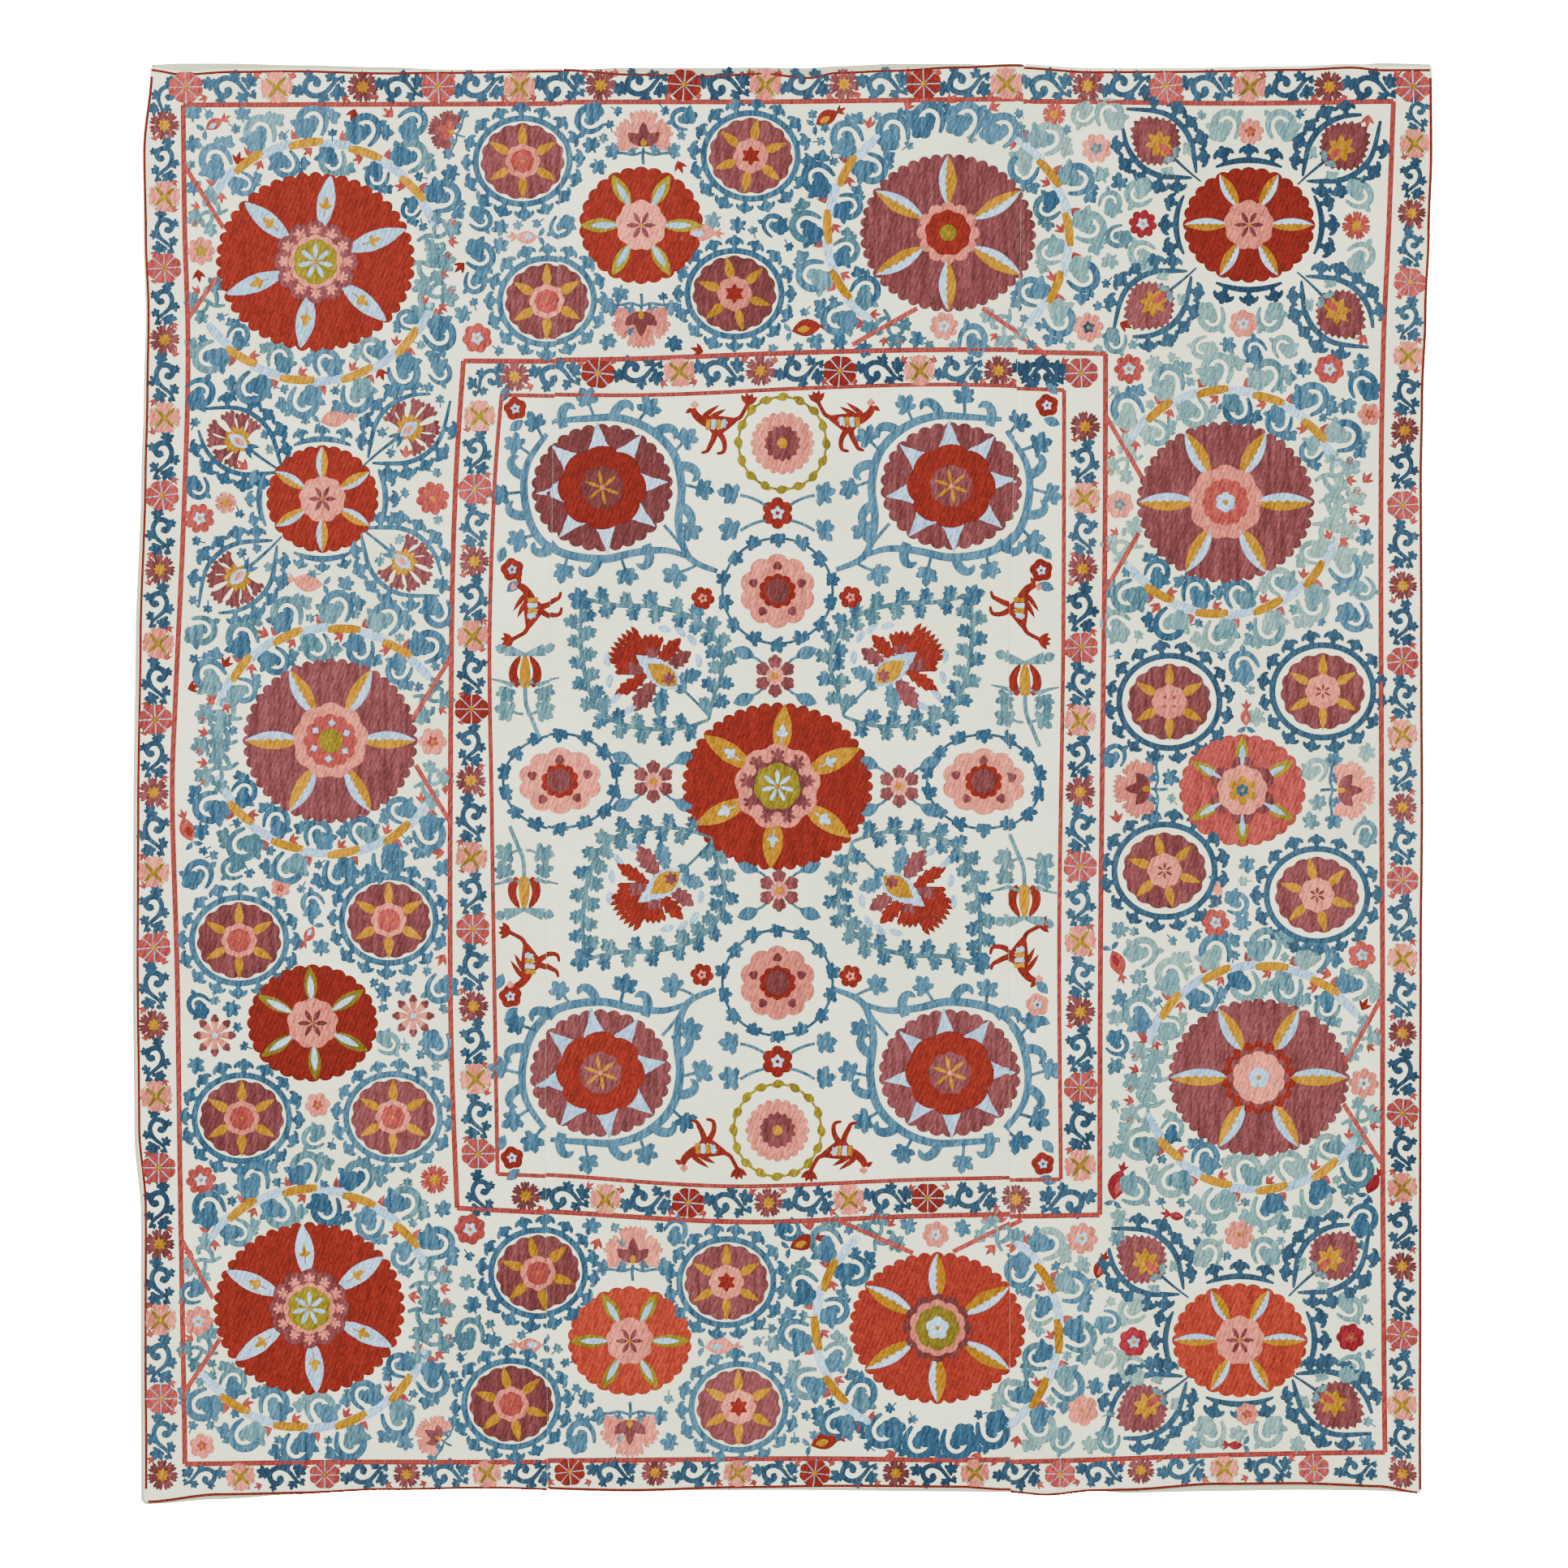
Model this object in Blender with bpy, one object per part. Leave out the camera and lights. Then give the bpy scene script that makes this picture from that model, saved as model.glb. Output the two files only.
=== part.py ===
"""Embroidered wall hanging: three widths of handwoven cotton sewn side by side, backed with a plain lining.

The three front panels carry the needlework. They meet at two long seams that lean a little, and their
outer edges are turned and drawn in unevenly by the stitching, so the lining shows past them as a narrow
pale strip along the left side and along parts of the top and the bottom.

Row frame: +Z up, the needlework faces -Y, and the origin is the middle of the top edge, where it hangs.
"""

import math
from collections import namedtuple

import bmesh
import bpy

# Driving dimensions, in metres
HANGING_DROP = 2.106
PANEL_THICKNESS = 0.0020
LINING_THICKNESS = 0.0012
LAYER_GAP = 0.0004
SEAM_GAP = 0.0003
HEM_WIDTH = 0.012
HEM_ROLL = 0.0010
CORNER_CUT = 0.006
SHARP_ANGLE = 50
CLOTH_ROUGHNESS = 0.9
MM = 0.001

# Grid of each sheet: rows down the drop and columns across each panel
ROWS = 32
SIDE_COLUMNS = 11
CENTRE_COLUMNS = 16

# Depth of the hang: long shallow flutes that deepen towards the bottom, a pinched fold and lifted corners
FLUTE_DEPTH_TOP = 0.0015
FLUTE_DEPTH_BOTTOM = 0.0060
FLUTE_LENGTH = 0.62
RIPPLE_DEPTH = 0.0016
RIPPLE_LENGTH = 0.37
CROSS_WAVE_DEPTH = 0.0022
CROSS_WAVE_LENGTH = 0.95
PINCH_X = 0.038
PINCH_DEPTH = 0.0070
PINCH_WIDTH = 0.030
PINCH_DROP = 0.085
CORNER_LIFT = 0.0080
CORNER_REACH = 0.150

# Outline, in millimetres. Each row of a side table is a height, and each row of an edge table a place across.
Side = namedtuple("Side", "drop front_left lining_left left_seam right_seam front_right lining_right")
SIDES = (
    Side(0, -936, -935, -325, 356, 960, 958),
    Side(125, -947, -946, -328, 353, 961, 959),
    Side(245, -945, -946, -331, 351, 957, 955),
    Side(365, -941, -943, -334, 348, 952, 950),
    Side(485, -943, -946, -338, 345, 947, 945),
    Side(605, -946, -950, -341, 340, 945, 943),
    Side(845, -953, -958, -345, 334, 946, 944),
    Side(1085, -956, -961, -348, 333, 947, 945),
    Side(1325, -957, -962, -350, 333, 945, 943),
    Side(1565, -955, -960, -352, 334, 944, 942),
    Side(1685, -945, -950, -351, 335, 944, 942),
    Side(1925, -945, -950, -349, 335, 944, 942),
    Side(2106, -943, -948, -348, 336, 943, 941),
)
Edge = namedtuple("Edge", "across front lining")
TOP_EDGE = (
    Edge(-940, 0, 3),
    Edge(-888, -7, 5),
    Edge(-811, -3, 5),
    Edge(-721, -2, 3),
    Edge(-583, -5, 0),
    Edge(-511, -4, -3),
    Edge(-331, -2, -4),
    Edge(-223, -9, -1),
    Edge(-115, -11, -1),
    Edge(-30, -7, 0),
    Edge(38, -14, -2),
    Edge(80, -6, 2),
    Edge(161, -3, 5),
    Edge(257, 2, 5),
    Edge(341, 5, 3),
    Edge(461, -2, -1),
    Edge(581, -1, -2),
    Edge(761, 2, 1),
    Edge(839, 5, 3),
    Edge(887, 1, 6),
    Edge(960, 1, 4),
)
BOTTOM_EDGE = (
    Edge(-943, -2121, -2124),
    Edge(-835, -2111, -2118),
    Edge(-721, -2110, -2112),
    Edge(-583, -2105, -2104),
    Edge(-439, -2102, -2101),
    Edge(-223, -2107, -2105),
    Edge(-79, -2104, -2106),
    Edge(137, -2102, -2107),
    Edge(257, -2102, -2107),
    Edge(329, -2106, -2108),
    Edge(389, -2111, -2110),
    Edge(461, -2105, -2107),
    Edge(509, -2104, -2110),
    Edge(641, -2096, -2108),
    Edge(761, -2095, -2106),
    Edge(881, -2098, -2106),
    Edge(943, -2107, -2108),
)

GROUND_COLOUR = (0.745, 0.755, 0.690, 1.0)
LINING_COLOUR = (0.690, 0.705, 0.650, 1.0)


def eased(table, key, at, column):
    """A column of a table, read between its rows with an eased step from each row to the next."""
    rows = sorted(table, key=lambda row: getattr(row, key))
    if at <= getattr(rows[0], key):
        return getattr(rows[0], column)
    for low, high in zip(rows, rows[1:]):
        start, end = getattr(low, key), getattr(high, key)
        if at <= end:
            share = (at - start) / (end - start)
            share = share * share * (3 - 2 * share)
            return getattr(low, column) * (1 - share) + getattr(high, column) * share
    return getattr(rows[-1], column)


def side(drop, column):
    """Where a side edge or a seam lies across the cloth, at a drop below the top, in metres."""
    return eased(SIDES, "drop", drop / MM, column) * MM


def edge(table, across, layer):
    """How high the top or bottom edge of a layer is, at a place across the cloth, in metres."""
    return eased(table, "across", across / MM, layer) * MM


def bump(distance, reach):
    """A smooth hump: 1 at no distance and 0 from reach on."""
    share = min(abs(distance) / reach, 1.0)
    return (0.5 + 0.5 * math.cos(math.pi * share)) ** 1.5


def hang_depth(x, z):
    """How far the cloth stands from its mean plane: negative is towards the viewer."""
    down = min(max(-z / HANGING_DROP, 0.0), 1.0)
    flute = FLUTE_DEPTH_TOP + (FLUTE_DEPTH_BOTTOM - FLUTE_DEPTH_TOP) * down ** 1.3
    depth = flute * math.sin(math.tau * x / FLUTE_LENGTH + 0.9 + 0.5 * down)
    depth += RIPPLE_DEPTH * math.sin(math.tau * x / RIPPLE_LENGTH + 2.1 - 1.4 * down) * (0.4 + 0.6 * down)
    depth += CROSS_WAVE_DEPTH * math.sin(math.tau * z / CROSS_WAVE_LENGTH + 1.1 + 1.6 * x)
    depth -= PINCH_DEPTH * bump(x - PINCH_X, 2 * PINCH_WIDTH) * bump(z, PINCH_DROP)
    for corner_x, corner_z in ((-0.943, -2.121), (0.943, -2.107)):
        depth -= CORNER_LIFT * bump(math.hypot(x - corner_x, z - corner_z), CORNER_REACH)
    return depth


def row_shares():
    """The rows of every sheet, as shares of the drop, with a narrow one at each end for the hem."""
    hem = HEM_WIDTH / HANGING_DROP
    inner = [hem + (1 - 2 * hem) * row / ROWS for row in range(ROWS + 1)]
    return [0.0] + inner + [1.0]


def panel_columns(drop, panel):
    """The columns of one panel at a drop, as places across, with a narrow one at an outer edge for the hem."""
    if panel == "left":
        start, end, count = side(drop, "front_left"), side(drop, "left_seam"), SIDE_COLUMNS
        lines = [start] + [start + HEM_WIDTH + (end - start - HEM_WIDTH) * i / count for i in range(count + 1)]
    elif panel == "centre":
        start, end, count = side(drop, "left_seam"), side(drop, "right_seam"), CENTRE_COLUMNS
        lines = [start + (end - start) * i / count for i in range(count + 1)]
    else:
        start, end, count = side(drop, "right_seam"), side(drop, "front_right"), SIDE_COLUMNS
        lines = [start + (end - start - HEM_WIDTH) * i / count for i in range(count + 1)] + [end]
    return lines


def inset_at_seams(lines, panel):
    """The same columns, kept half the seam gap clear of each neighbour."""
    lines = list(lines)
    if panel != "left":
        lines[0] += SEAM_GAP / 2
    if panel != "right":
        lines[-1] -= SEAM_GAP / 2
    return lines


def all_columns(drop):
    """The columns of the lining: those of the three panels, with its own outer edges."""
    lines = panel_columns(drop, "left") + panel_columns(drop, "centre")[1:] + panel_columns(drop, "right")[1:]
    lines[0], lines[-1] = side(drop, "lining_left"), side(drop, "lining_right")
    return lines


def cloth_material(name, colour):
    material = bpy.data.materials.new(name)
    material.use_nodes = True
    shader = material.node_tree.nodes["Principled BSDF"]
    shader.inputs["Base Color"].default_value = colour
    shader.inputs["Roughness"].default_value = CLOTH_ROUGHNESS
    shader.inputs["Metallic"].default_value = 0.0
    return material


def place_on_grid(columns_at, layer, row_share, column):
    """Where one crossing of a sheet's grid lies across and down, with the four corners cut back a little."""
    lines = columns_at(row_share * HANGING_DROP)
    x = lines[column]
    at_end = row_share in (0.0, 1.0)
    if at_end and column in (0, len(lines) - 1):
        x += CORNER_CUT if column == 0 else -CORNER_CUT
    if row_share == 0.0:
        z = edge(TOP_EDGE, x, layer)
    elif row_share == 1.0:
        z = edge(BOTTOM_EDGE, x, layer)
    else:
        top, bottom = edge(TOP_EDGE, x, "front"), edge(BOTTOM_EDGE, x, "front")
        z = top + (bottom - top) * row_share
    return x, z


def sheet(name, collection, colour, columns_at, layer, front_offset, thickness, rolled_sides):
    """One closed sheet of cloth: a grid laid on the hang, then extruded straight back by its thickness.

    The front of the hem is set back a little at the top, the bottom and the sides named as rolled.
    """
    shares = [1 - share for share in row_shares()]
    across = len(columns_at(0.0))
    cloth = bmesh.new()
    bmesh.ops.create_grid(cloth, x_segments=across - 1, y_segments=len(shares) - 1, size=1.0)
    cloth.verts.ensure_lookup_table()
    for index, vertex in enumerate(cloth.verts):
        row, column = divmod(index, across)
        x, z = place_on_grid(columns_at, layer, shares[row], column)
        at_side = (column == 0 and "left" in rolled_sides) or (column == across - 1 and "right" in rolled_sides)
        at_end = shares[row] in (0.0, 1.0) and rolled_sides
        vertex.co = (x, hang_depth(x, z) + front_offset + (HEM_ROLL if at_side or at_end else 0.0), z)
    made = bmesh.ops.extrude_face_region(cloth, geom=list(cloth.faces))["geom"]
    for vertex in [item for item in made if isinstance(item, bmesh.types.BMVert)]:
        vertex.co.y = hang_depth(vertex.co.x, vertex.co.z) + front_offset + thickness
    bmesh.ops.recalc_face_normals(cloth, faces=cloth.faces)
    mesh = bpy.data.meshes.new(name)
    cloth.to_mesh(mesh)
    cloth.free()
    mesh.materials.append(cloth_material(name + "_cotton", colour))
    mesh.shade_smooth()
    mesh.set_sharp_from_angle(angle=math.radians(SHARP_ANGLE))
    collection.objects.link(bpy.data.objects.new(name, mesh))


def build():
    for stale in list(bpy.data.objects):
        bpy.data.objects.remove(stale)
    collection = bpy.data.collections.new("embroidered_wall_hanging")
    bpy.context.scene.collection.children.link(collection)
    for panel, rolled_sides in (("left", ("ends", "left")), ("centre", ("ends",)), ("right", ("ends", "right"))):
        sheet(
            "panel_" + panel,
            collection,
            GROUND_COLOUR,
            lambda drop, panel=panel: inset_at_seams(panel_columns(drop, panel), panel),
            "front",
            0.0,
            PANEL_THICKNESS,
            rolled_sides,
        )
    behind = PANEL_THICKNESS + LAYER_GAP
    sheet("lining", collection, LINING_COLOUR, all_columns, "lining", behind, LINING_THICKNESS, ())


build()
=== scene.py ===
"""Dresses the embroidered wall hanging: cotton cloth, silk needlework, seams, lining, light and camera.

The needlework is drawn flat, motif by motif, in patches of one thread colour each. It is then cut at the two
long seams, as three widths worked apart and sewn together afterwards, and laid on the hang of the cloth.
Places across and down are in units of 1.2 mm, counted from a corner that lies up and left of the cloth.
"""

import math
import random
from collections import namedtuple
from functools import lru_cache

import bmesh
import bpy
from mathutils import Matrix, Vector, kdtree, noise


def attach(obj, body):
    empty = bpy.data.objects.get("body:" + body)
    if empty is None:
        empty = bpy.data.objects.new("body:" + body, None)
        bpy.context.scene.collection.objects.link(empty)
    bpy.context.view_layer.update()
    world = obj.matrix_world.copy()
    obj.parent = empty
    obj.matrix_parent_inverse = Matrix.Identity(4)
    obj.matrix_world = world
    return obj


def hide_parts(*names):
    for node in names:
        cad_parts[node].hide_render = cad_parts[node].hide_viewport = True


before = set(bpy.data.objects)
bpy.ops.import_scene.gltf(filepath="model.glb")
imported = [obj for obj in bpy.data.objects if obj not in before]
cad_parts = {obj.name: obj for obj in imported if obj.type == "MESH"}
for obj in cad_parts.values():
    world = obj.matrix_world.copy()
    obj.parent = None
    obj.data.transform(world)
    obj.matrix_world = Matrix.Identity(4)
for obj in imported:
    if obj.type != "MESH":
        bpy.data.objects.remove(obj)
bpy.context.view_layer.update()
random.seed(41)

# The cloth, in metres, as the solids have it
UNIT = 0.0012
MIDDLE, TOP = 965, 82
HANGING_DROP = 2.106
PANEL_THICKNESS = 0.0020
LINING_THICKNESS = 0.0012
LAYER_GAP = 0.0004
SEAM_GAP = 0.0003
HEM_WIDTH = 0.012
HEM_ROLL = 0.0010
CORNER_CUT = 0.006
MM = 0.001
FLUTE_DEPTH_TOP = 0.0015
FLUTE_DEPTH_BOTTOM = 0.0060
FLUTE_LENGTH = 0.62
RIPPLE_DEPTH = 0.0016
RIPPLE_LENGTH = 0.37
CROSS_WAVE_DEPTH = 0.0022
CROSS_WAVE_LENGTH = 0.95
PINCH_X = 0.038
PINCH_DEPTH = 0.0070
PINCH_WIDTH = 0.030
PINCH_DROP = 0.085
CORNER_LIFT = 0.0080
CORNER_REACH = 0.150
CORNERS = ((-0.943, -2.121), (0.943, -2.107))
HALF_WIDTH = 0.945

# Finer than the solids: the pull of the stitching and the pucker of the edges and seams
ROWS = 150
SIDE_COLUMNS = 46
CENTRE_COLUMNS = 50
PULL_DEPTH = 0.0011
PULL_LENGTH = 0.075
PUCKER_DEPTH = 0.0012
PUCKER_LENGTH = 0.055
PUCKER_REACH = 0.045
SEAM_DIP = 0.0009
SEAM_REACH = 0.007

# The outline in millimetres, a row for each height or each place across
Side = namedtuple("Side", "drop front_left lining_left left_seam right_seam front_right lining_right")
SIDES = [Side(*row) for row in (
    (0, -936, -935, -325, 356, 960, 958),
    (125, -947, -946, -328, 353, 961, 959),
    (245, -945, -946, -331, 351, 957, 955),
    (365, -941, -943, -334, 348, 952, 950),
    (485, -943, -946, -338, 345, 947, 945),
    (605, -946, -950, -341, 340, 945, 943),
    (845, -953, -958, -345, 334, 946, 944),
    (1085, -956, -961, -348, 333, 947, 945),
    (1325, -957, -962, -350, 333, 945, 943),
    (1565, -955, -960, -352, 334, 944, 942),
    (1685, -945, -950, -351, 335, 944, 942),
    (1925, -945, -950, -349, 335, 944, 942),
    (2106, -943, -948, -348, 336, 943, 941),
)]
Edge = namedtuple("Edge", "across front lining")
TOP_EDGE = tuple(Edge(*row) for row in (
    (-940, 0, 3), (-888, -7, 5), (-811, -3, 5), (-721, -2, 3), (-583, -5, 0), (-511, -4, -3), (-331, -2, -4),
    (-223, -9, -1), (-115, -11, -1), (-30, -7, 0), (38, -14, -2), (80, -6, 2), (161, -3, 5), (257, 2, 5),
    (341, 5, 3), (461, -2, -1), (581, -1, -2), (761, 2, 1), (839, 5, 3), (887, 1, 6), (960, 1, 4),
))
BOTTOM_EDGE = tuple(Edge(*row) for row in (
    (-943, -2121, -2124), (-835, -2111, -2118), (-721, -2110, -2112), (-583, -2105, -2104),
    (-439, -2102, -2101), (-223, -2107, -2105), (-79, -2104, -2106), (137, -2102, -2107),
    (257, -2102, -2107), (329, -2106, -2108), (389, -2111, -2110), (461, -2105, -2107),
    (509, -2104, -2110), (641, -2096, -2108), (761, -2095, -2106), (881, -2098, -2106), (943, -2107, -2108),
))

# Thread colours: the main tone, the tone that it streaks into, and how strongly it streaks
Thread = namedtuple("Thread", "name main other streak")
THREADS = [Thread(*row) for row in (
    ("red", (99, 21, 12), (114, 30, 19), 0.7),
    ("orange", (124, 35, 24), (152, 51, 32), 0.6),
    ("plum", (82, 37, 38), (112, 58, 61), 1.1),
    ("coral", (127, 47, 43), (158, 64, 59), 0.7),
    ("pink", (176, 93, 79), (216, 123, 102), 0.7),
    ("gold", (140, 95, 2), (174, 122, 4), 0.6),
    ("olive", (97, 84, 20), (130, 115, 14), 0.7),
    ("pale", (164, 194, 222), (124, 167, 198), 0.6),
    ("navy", (24, 48, 68), (47, 77, 97), 0.7),
    ("blue", (33, 64, 87), (69, 108, 128), 0.85),
    ("teal", (49, 83, 96), (95, 134, 139), 0.85),
    ("sage", (80, 119, 124), (124, 154, 143), 0.85),
    ("crimson", (102, 15, 24), (131, 33, 42), 0.6),
)]
THREAD_NUMBER = {thread.name: number for number, thread in enumerate(THREADS)}

# Height of the stitches over the cloth, in metres
STITCH_RISE = 0.0008
STITCH_RIM = 0.0003
LEVEL_STEP = 0.00035
# How far in from its rim a round patch reaches its full height, in units
EDGE_SLOPE = 1.3
# Patches that overlap on one level lie a hair apart, so that neither cuts through the other
HAIR, HAIRS = 0.00001, 9
# The fresh patches join the others when they hold this many points
GATHER_AT = 3000
# The red edge stitching: how far in from the rim, and its half width, in units
EDGE_INSET, EDGE_WIDTH = 2.6, 1.6


def eased(table, key, at, column):
    """A column of a table, read between its rows with an eased step from each row to the next."""
    if at <= getattr(table[0], key):
        return getattr(table[0], column)
    for low, high in zip(table, table[1:]):
        start, end = getattr(low, key), getattr(high, key)
        if at <= end:
            share = (at - start) / (end - start)
            share = share * share * (3 - 2 * share)
            return getattr(low, column) * (1 - share) + getattr(high, column) * share
    return getattr(table[-1], column)


def side(drop, column):
    """Where a side edge or a seam lies across the cloth, at a drop below the top, in metres."""
    return eased(SIDES, "drop", drop / MM, column) * MM


@lru_cache(maxsize=None)
def seam_near(whole_mm, column):
    """Where a seam lies at a drop in whole millimetres, worked out once for each."""
    return side(whole_mm * MM, column)


@lru_cache(maxsize=None)
def edge_near(table, half_mm, layer):
    """How high an edge is at a place in whole half millimetres, worked out once for each."""
    return eased(table, "across", half_mm / 2, layer) * MM


def edge(table, across, layer):
    """How high the top or bottom edge of a layer is, at a place across the cloth, in metres."""
    return edge_near(table, round(2 * across / MM), layer)


def bump(distance, reach):
    """A smooth hump: 1 at no distance and 0 from reach on."""
    share = min(abs(distance) / reach, 1.0)
    return (0.5 + 0.5 * math.cos(math.pi * share)) ** 1.5


def hang_depth(x, z):
    """How far the cloth stands from its mean plane, as the solids have it: negative is towards the viewer."""
    down = min(max(-z / HANGING_DROP, 0.0), 1.0)
    flute = FLUTE_DEPTH_TOP + (FLUTE_DEPTH_BOTTOM - FLUTE_DEPTH_TOP) * down ** 1.3
    depth = flute * math.sin(math.tau * x / FLUTE_LENGTH + 0.9 + 0.5 * down)
    depth += RIPPLE_DEPTH * math.sin(math.tau * x / RIPPLE_LENGTH + 2.1 - 1.4 * down) * (0.4 + 0.6 * down)
    depth += CROSS_WAVE_DEPTH * math.sin(math.tau * z / CROSS_WAVE_LENGTH + 1.1 + 1.6 * x)
    depth -= PINCH_DEPTH * bump(x - PINCH_X, 2 * PINCH_WIDTH) * bump(z, PINCH_DROP)
    for corner_x, corner_z in CORNERS:
        depth -= CORNER_LIFT * bump(math.hypot(x - corner_x, z - corner_z), CORNER_REACH)
    return depth


def cloth_depth(x, z):
    """The hang with the finer unevenness: stitching that pulls, and puckers along the edges and the seams."""
    depth = hang_depth(x, z)
    depth += PULL_DEPTH * noise.noise(Vector((x / PULL_LENGTH, 3.7, z / PULL_LENGTH)))
    drop = round(-z / MM)
    seam = min(abs(x - seam_near(drop, "left_seam")), abs(x - seam_near(drop, "right_seam")))
    depth += SEAM_DIP * bump(seam, SEAM_REACH)
    across = noise.noise(Vector((x / PUCKER_LENGTH, 9.1, 0.3 * z / PUCKER_LENGTH)))
    down = noise.noise(Vector((0.3 * x / PUCKER_LENGTH, 5.3, z / PUCKER_LENGTH)))
    near_end = max(bump(z, PUCKER_REACH), bump(z + HANGING_DROP, PUCKER_REACH))
    near_side = max(bump(abs(x) - HALF_WIDTH, PUCKER_REACH), 0.5 * bump(seam, PUCKER_REACH))
    return depth + PUCKER_DEPTH * (across * near_end + down * near_side)


def row_shares():
    """Where the rows of a sheet lie between its top and its bottom edge, close together in the hems."""
    hem = HEM_WIDTH / HANGING_DROP
    inner = [hem + (1 - 2 * hem) * row / ROWS for row in range(ROWS + 1)]
    return [0.0, hem * 0.25, hem * 0.6] + inner + [1 - hem * 0.6, 1 - hem * 0.25, 1.0]


def panel_columns(drop, panel):
    """The columns of one panel at a drop, close together at its hem and at its seams."""
    start, end = {
        "left": (side(drop, "front_left"), side(drop, "left_seam") - SEAM_GAP / 2),
        "centre": (side(drop, "left_seam") + SEAM_GAP / 2, side(drop, "right_seam") - SEAM_GAP / 2),
        "right": (side(drop, "right_seam") + SEAM_GAP / 2, side(drop, "front_right")),
    }[panel]
    count = CENTRE_COLUMNS if panel == "centre" else SIDE_COLUMNS
    inner = [start + SEAM_REACH + (end - start - 2 * SEAM_REACH) * i / count for i in range(count + 1)]
    return [start, start + SEAM_REACH * 0.4] + inner + [end - SEAM_REACH * 0.4, end]


def lining_columns(drop):
    """The columns of the lining: those of the three panels, with its own outer edges."""
    lines = panel_columns(drop, "left") + panel_columns(drop, "centre")[1:] + panel_columns(drop, "right")[1:]
    lines[0], lines[-1] = side(drop, "lining_left"), side(drop, "lining_right")
    return lines


def place_on_grid(lines, layer, row_share, column):
    """Where a point of a sheet's grid hangs, with the corners of the sheet cut a little."""
    x = lines[column]
    at_side = column in (0, len(lines) - 1)
    if row_share in (0.0, 1.0) and at_side:
        x += CORNER_CUT if column == 0 else -CORNER_CUT
    top, bottom = edge(TOP_EDGE, x, "front"), edge(BOTTOM_EDGE, x, "front")
    if row_share == 0.0:
        return x, edge(TOP_EDGE, x, layer)
    if row_share == 1.0:
        return x, edge(BOTTOM_EDGE, x, layer)
    return x, top + (bottom - top) * row_share


def cloth_sheet(name, columns_at, layer, front_offset, thickness, rolled_sides, material):
    """One sheet of cloth on the fine hang: a grid, extruded straight back, with its hem rolled at the rim."""
    shares = [1 - share for share in row_shares()]
    lines_at = {share: columns_at(share * HANGING_DROP) for share in shares}
    across = len(lines_at[0.0])
    cloth = bmesh.new()
    bmesh.ops.create_grid(cloth, x_segments=across - 1, y_segments=len(shares) - 1, size=1.0)
    cloth.verts.ensure_lookup_table()
    for index, vertex in enumerate(cloth.verts):
        row, column = divmod(index, across)
        share = shares[row]
        x, z = place_on_grid(lines_at[share], layer, share, column)
        rim = {0: "left", across - 1: "right"}.get(column)
        rolled = HEM_ROLL if rim in rolled_sides or (share in (0.0, 1.0) and rolled_sides) else 0.0
        vertex.co = (x, cloth_depth(x, z) + front_offset + rolled, z)
    made = bmesh.ops.extrude_face_region(cloth, geom=list(cloth.faces))["geom"]
    for vertex in [item for item in made if isinstance(item, bmesh.types.BMVert)]:
        vertex.co.y = cloth_depth(vertex.co.x, vertex.co.z) + front_offset + thickness
    bmesh.ops.recalc_face_normals(cloth, faces=cloth.faces)
    return new_piece(name, cloth, [material])


def new_piece(name, shape, materials):
    mesh = bpy.data.meshes.new(name)
    shape.to_mesh(mesh)
    shape.free()
    for material in materials:
        mesh.materials.append(material)
    mesh.shade_smooth()
    mesh.set_sharp_from_angle(angle=math.radians(50))
    piece = bpy.data.objects.new(name, mesh)
    bpy.context.scene.collection.objects.link(piece)
    return piece


class Needlework:
    """Gathers patches of stitches, each shaped from a small grid, in one flat mesh."""

    def __init__(self):
        self.done, self.fresh = self.empty(), self.empty()
        self.taken, self.keep_out, self.count = [], [], 0

    @staticmethod
    def empty():
        shape = bmesh.new()
        shape.verts.layers.float.new("from_edge")
        shape.verts.layers.float.new("tone")
        return shape

    def patch(self, thread, columns, rows, spot, tone, wraps=False):
        """spot gives, for a column and a row, the place in units, the height and how far in from the edge."""
        shape = self.fresh
        # from_edge: how far in from the patch's rim, which the silk darkens there as painted shade; tone: the
        # patch's own shift of colour
        rim, shade = shape.verts.layers.float["from_edge"], shape.verts.layers.float["tone"]
        made = bmesh.ops.create_grid(shape, x_segments=columns - 1, y_segments=rows - 1, size=1.0)["verts"]
        self.count += 1
        lift = (self.count % HAIRS) * HAIR
        for index, vertex in enumerate(made):
            row, column = divmod(index, columns)
            x, y, height, from_edge = spot(column, row)
            vertex.co = ((x - MIDDLE) * UNIT, -height - lift, (TOP - y) * UNIT)
            vertex[rim], vertex[shade] = from_edge, tone
        for face in {face for vertex in made for face in vertex.link_faces}:
            face.material_index = THREAD_NUMBER[thread]
        if wraps:
            bmesh.ops.remove_doubles(shape, verts=made, dist=1e-7)
        if len(shape.verts) > GATHER_AT:
            self.gather()

    def gather(self):
        """Adds the fresh patches to the finished needlework."""
        held = bpy.data.meshes.new("held")
        self.fresh.to_mesh(held)
        self.done.from_mesh(held)
        bpy.data.meshes.remove(held)
        self.fresh.free()
        self.fresh = self.empty()


work = Needlework()


def scallop(count, depth, turn=90.0):
    """A round outline with rounded lobes, the middle of one at the turn."""
    start = math.radians(turn)
    return lambda a: 1 - depth * (1 - abs(math.cos(count * (a - start) / 2)) ** 0.7)


def star(count, depth, turn=90.0):
    """A round outline with points, one at the turn."""
    start = math.radians(turn)
    return lambda a: 1 - depth * (1 - 2 * abs((a - start) * count / math.tau % 1.0 - 0.5))


def lens(width):
    """A half width that rises from nothing to the middle and falls to nothing again."""
    return lambda t: width * max(math.sin(math.pi * t), 0.0) ** 0.8


def blade(width, peak=0.5, full=1.9):
    """A leaf's half width that grows to a peak and then runs out to a point."""
    return lambda t: width * (1 - (abs(t - peak) / (peak if t < peak else 1 - peak)) ** full)


def horn(start, end):
    """A half width that changes evenly from start to end."""
    return lambda t: start + (end - start) * t


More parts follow.
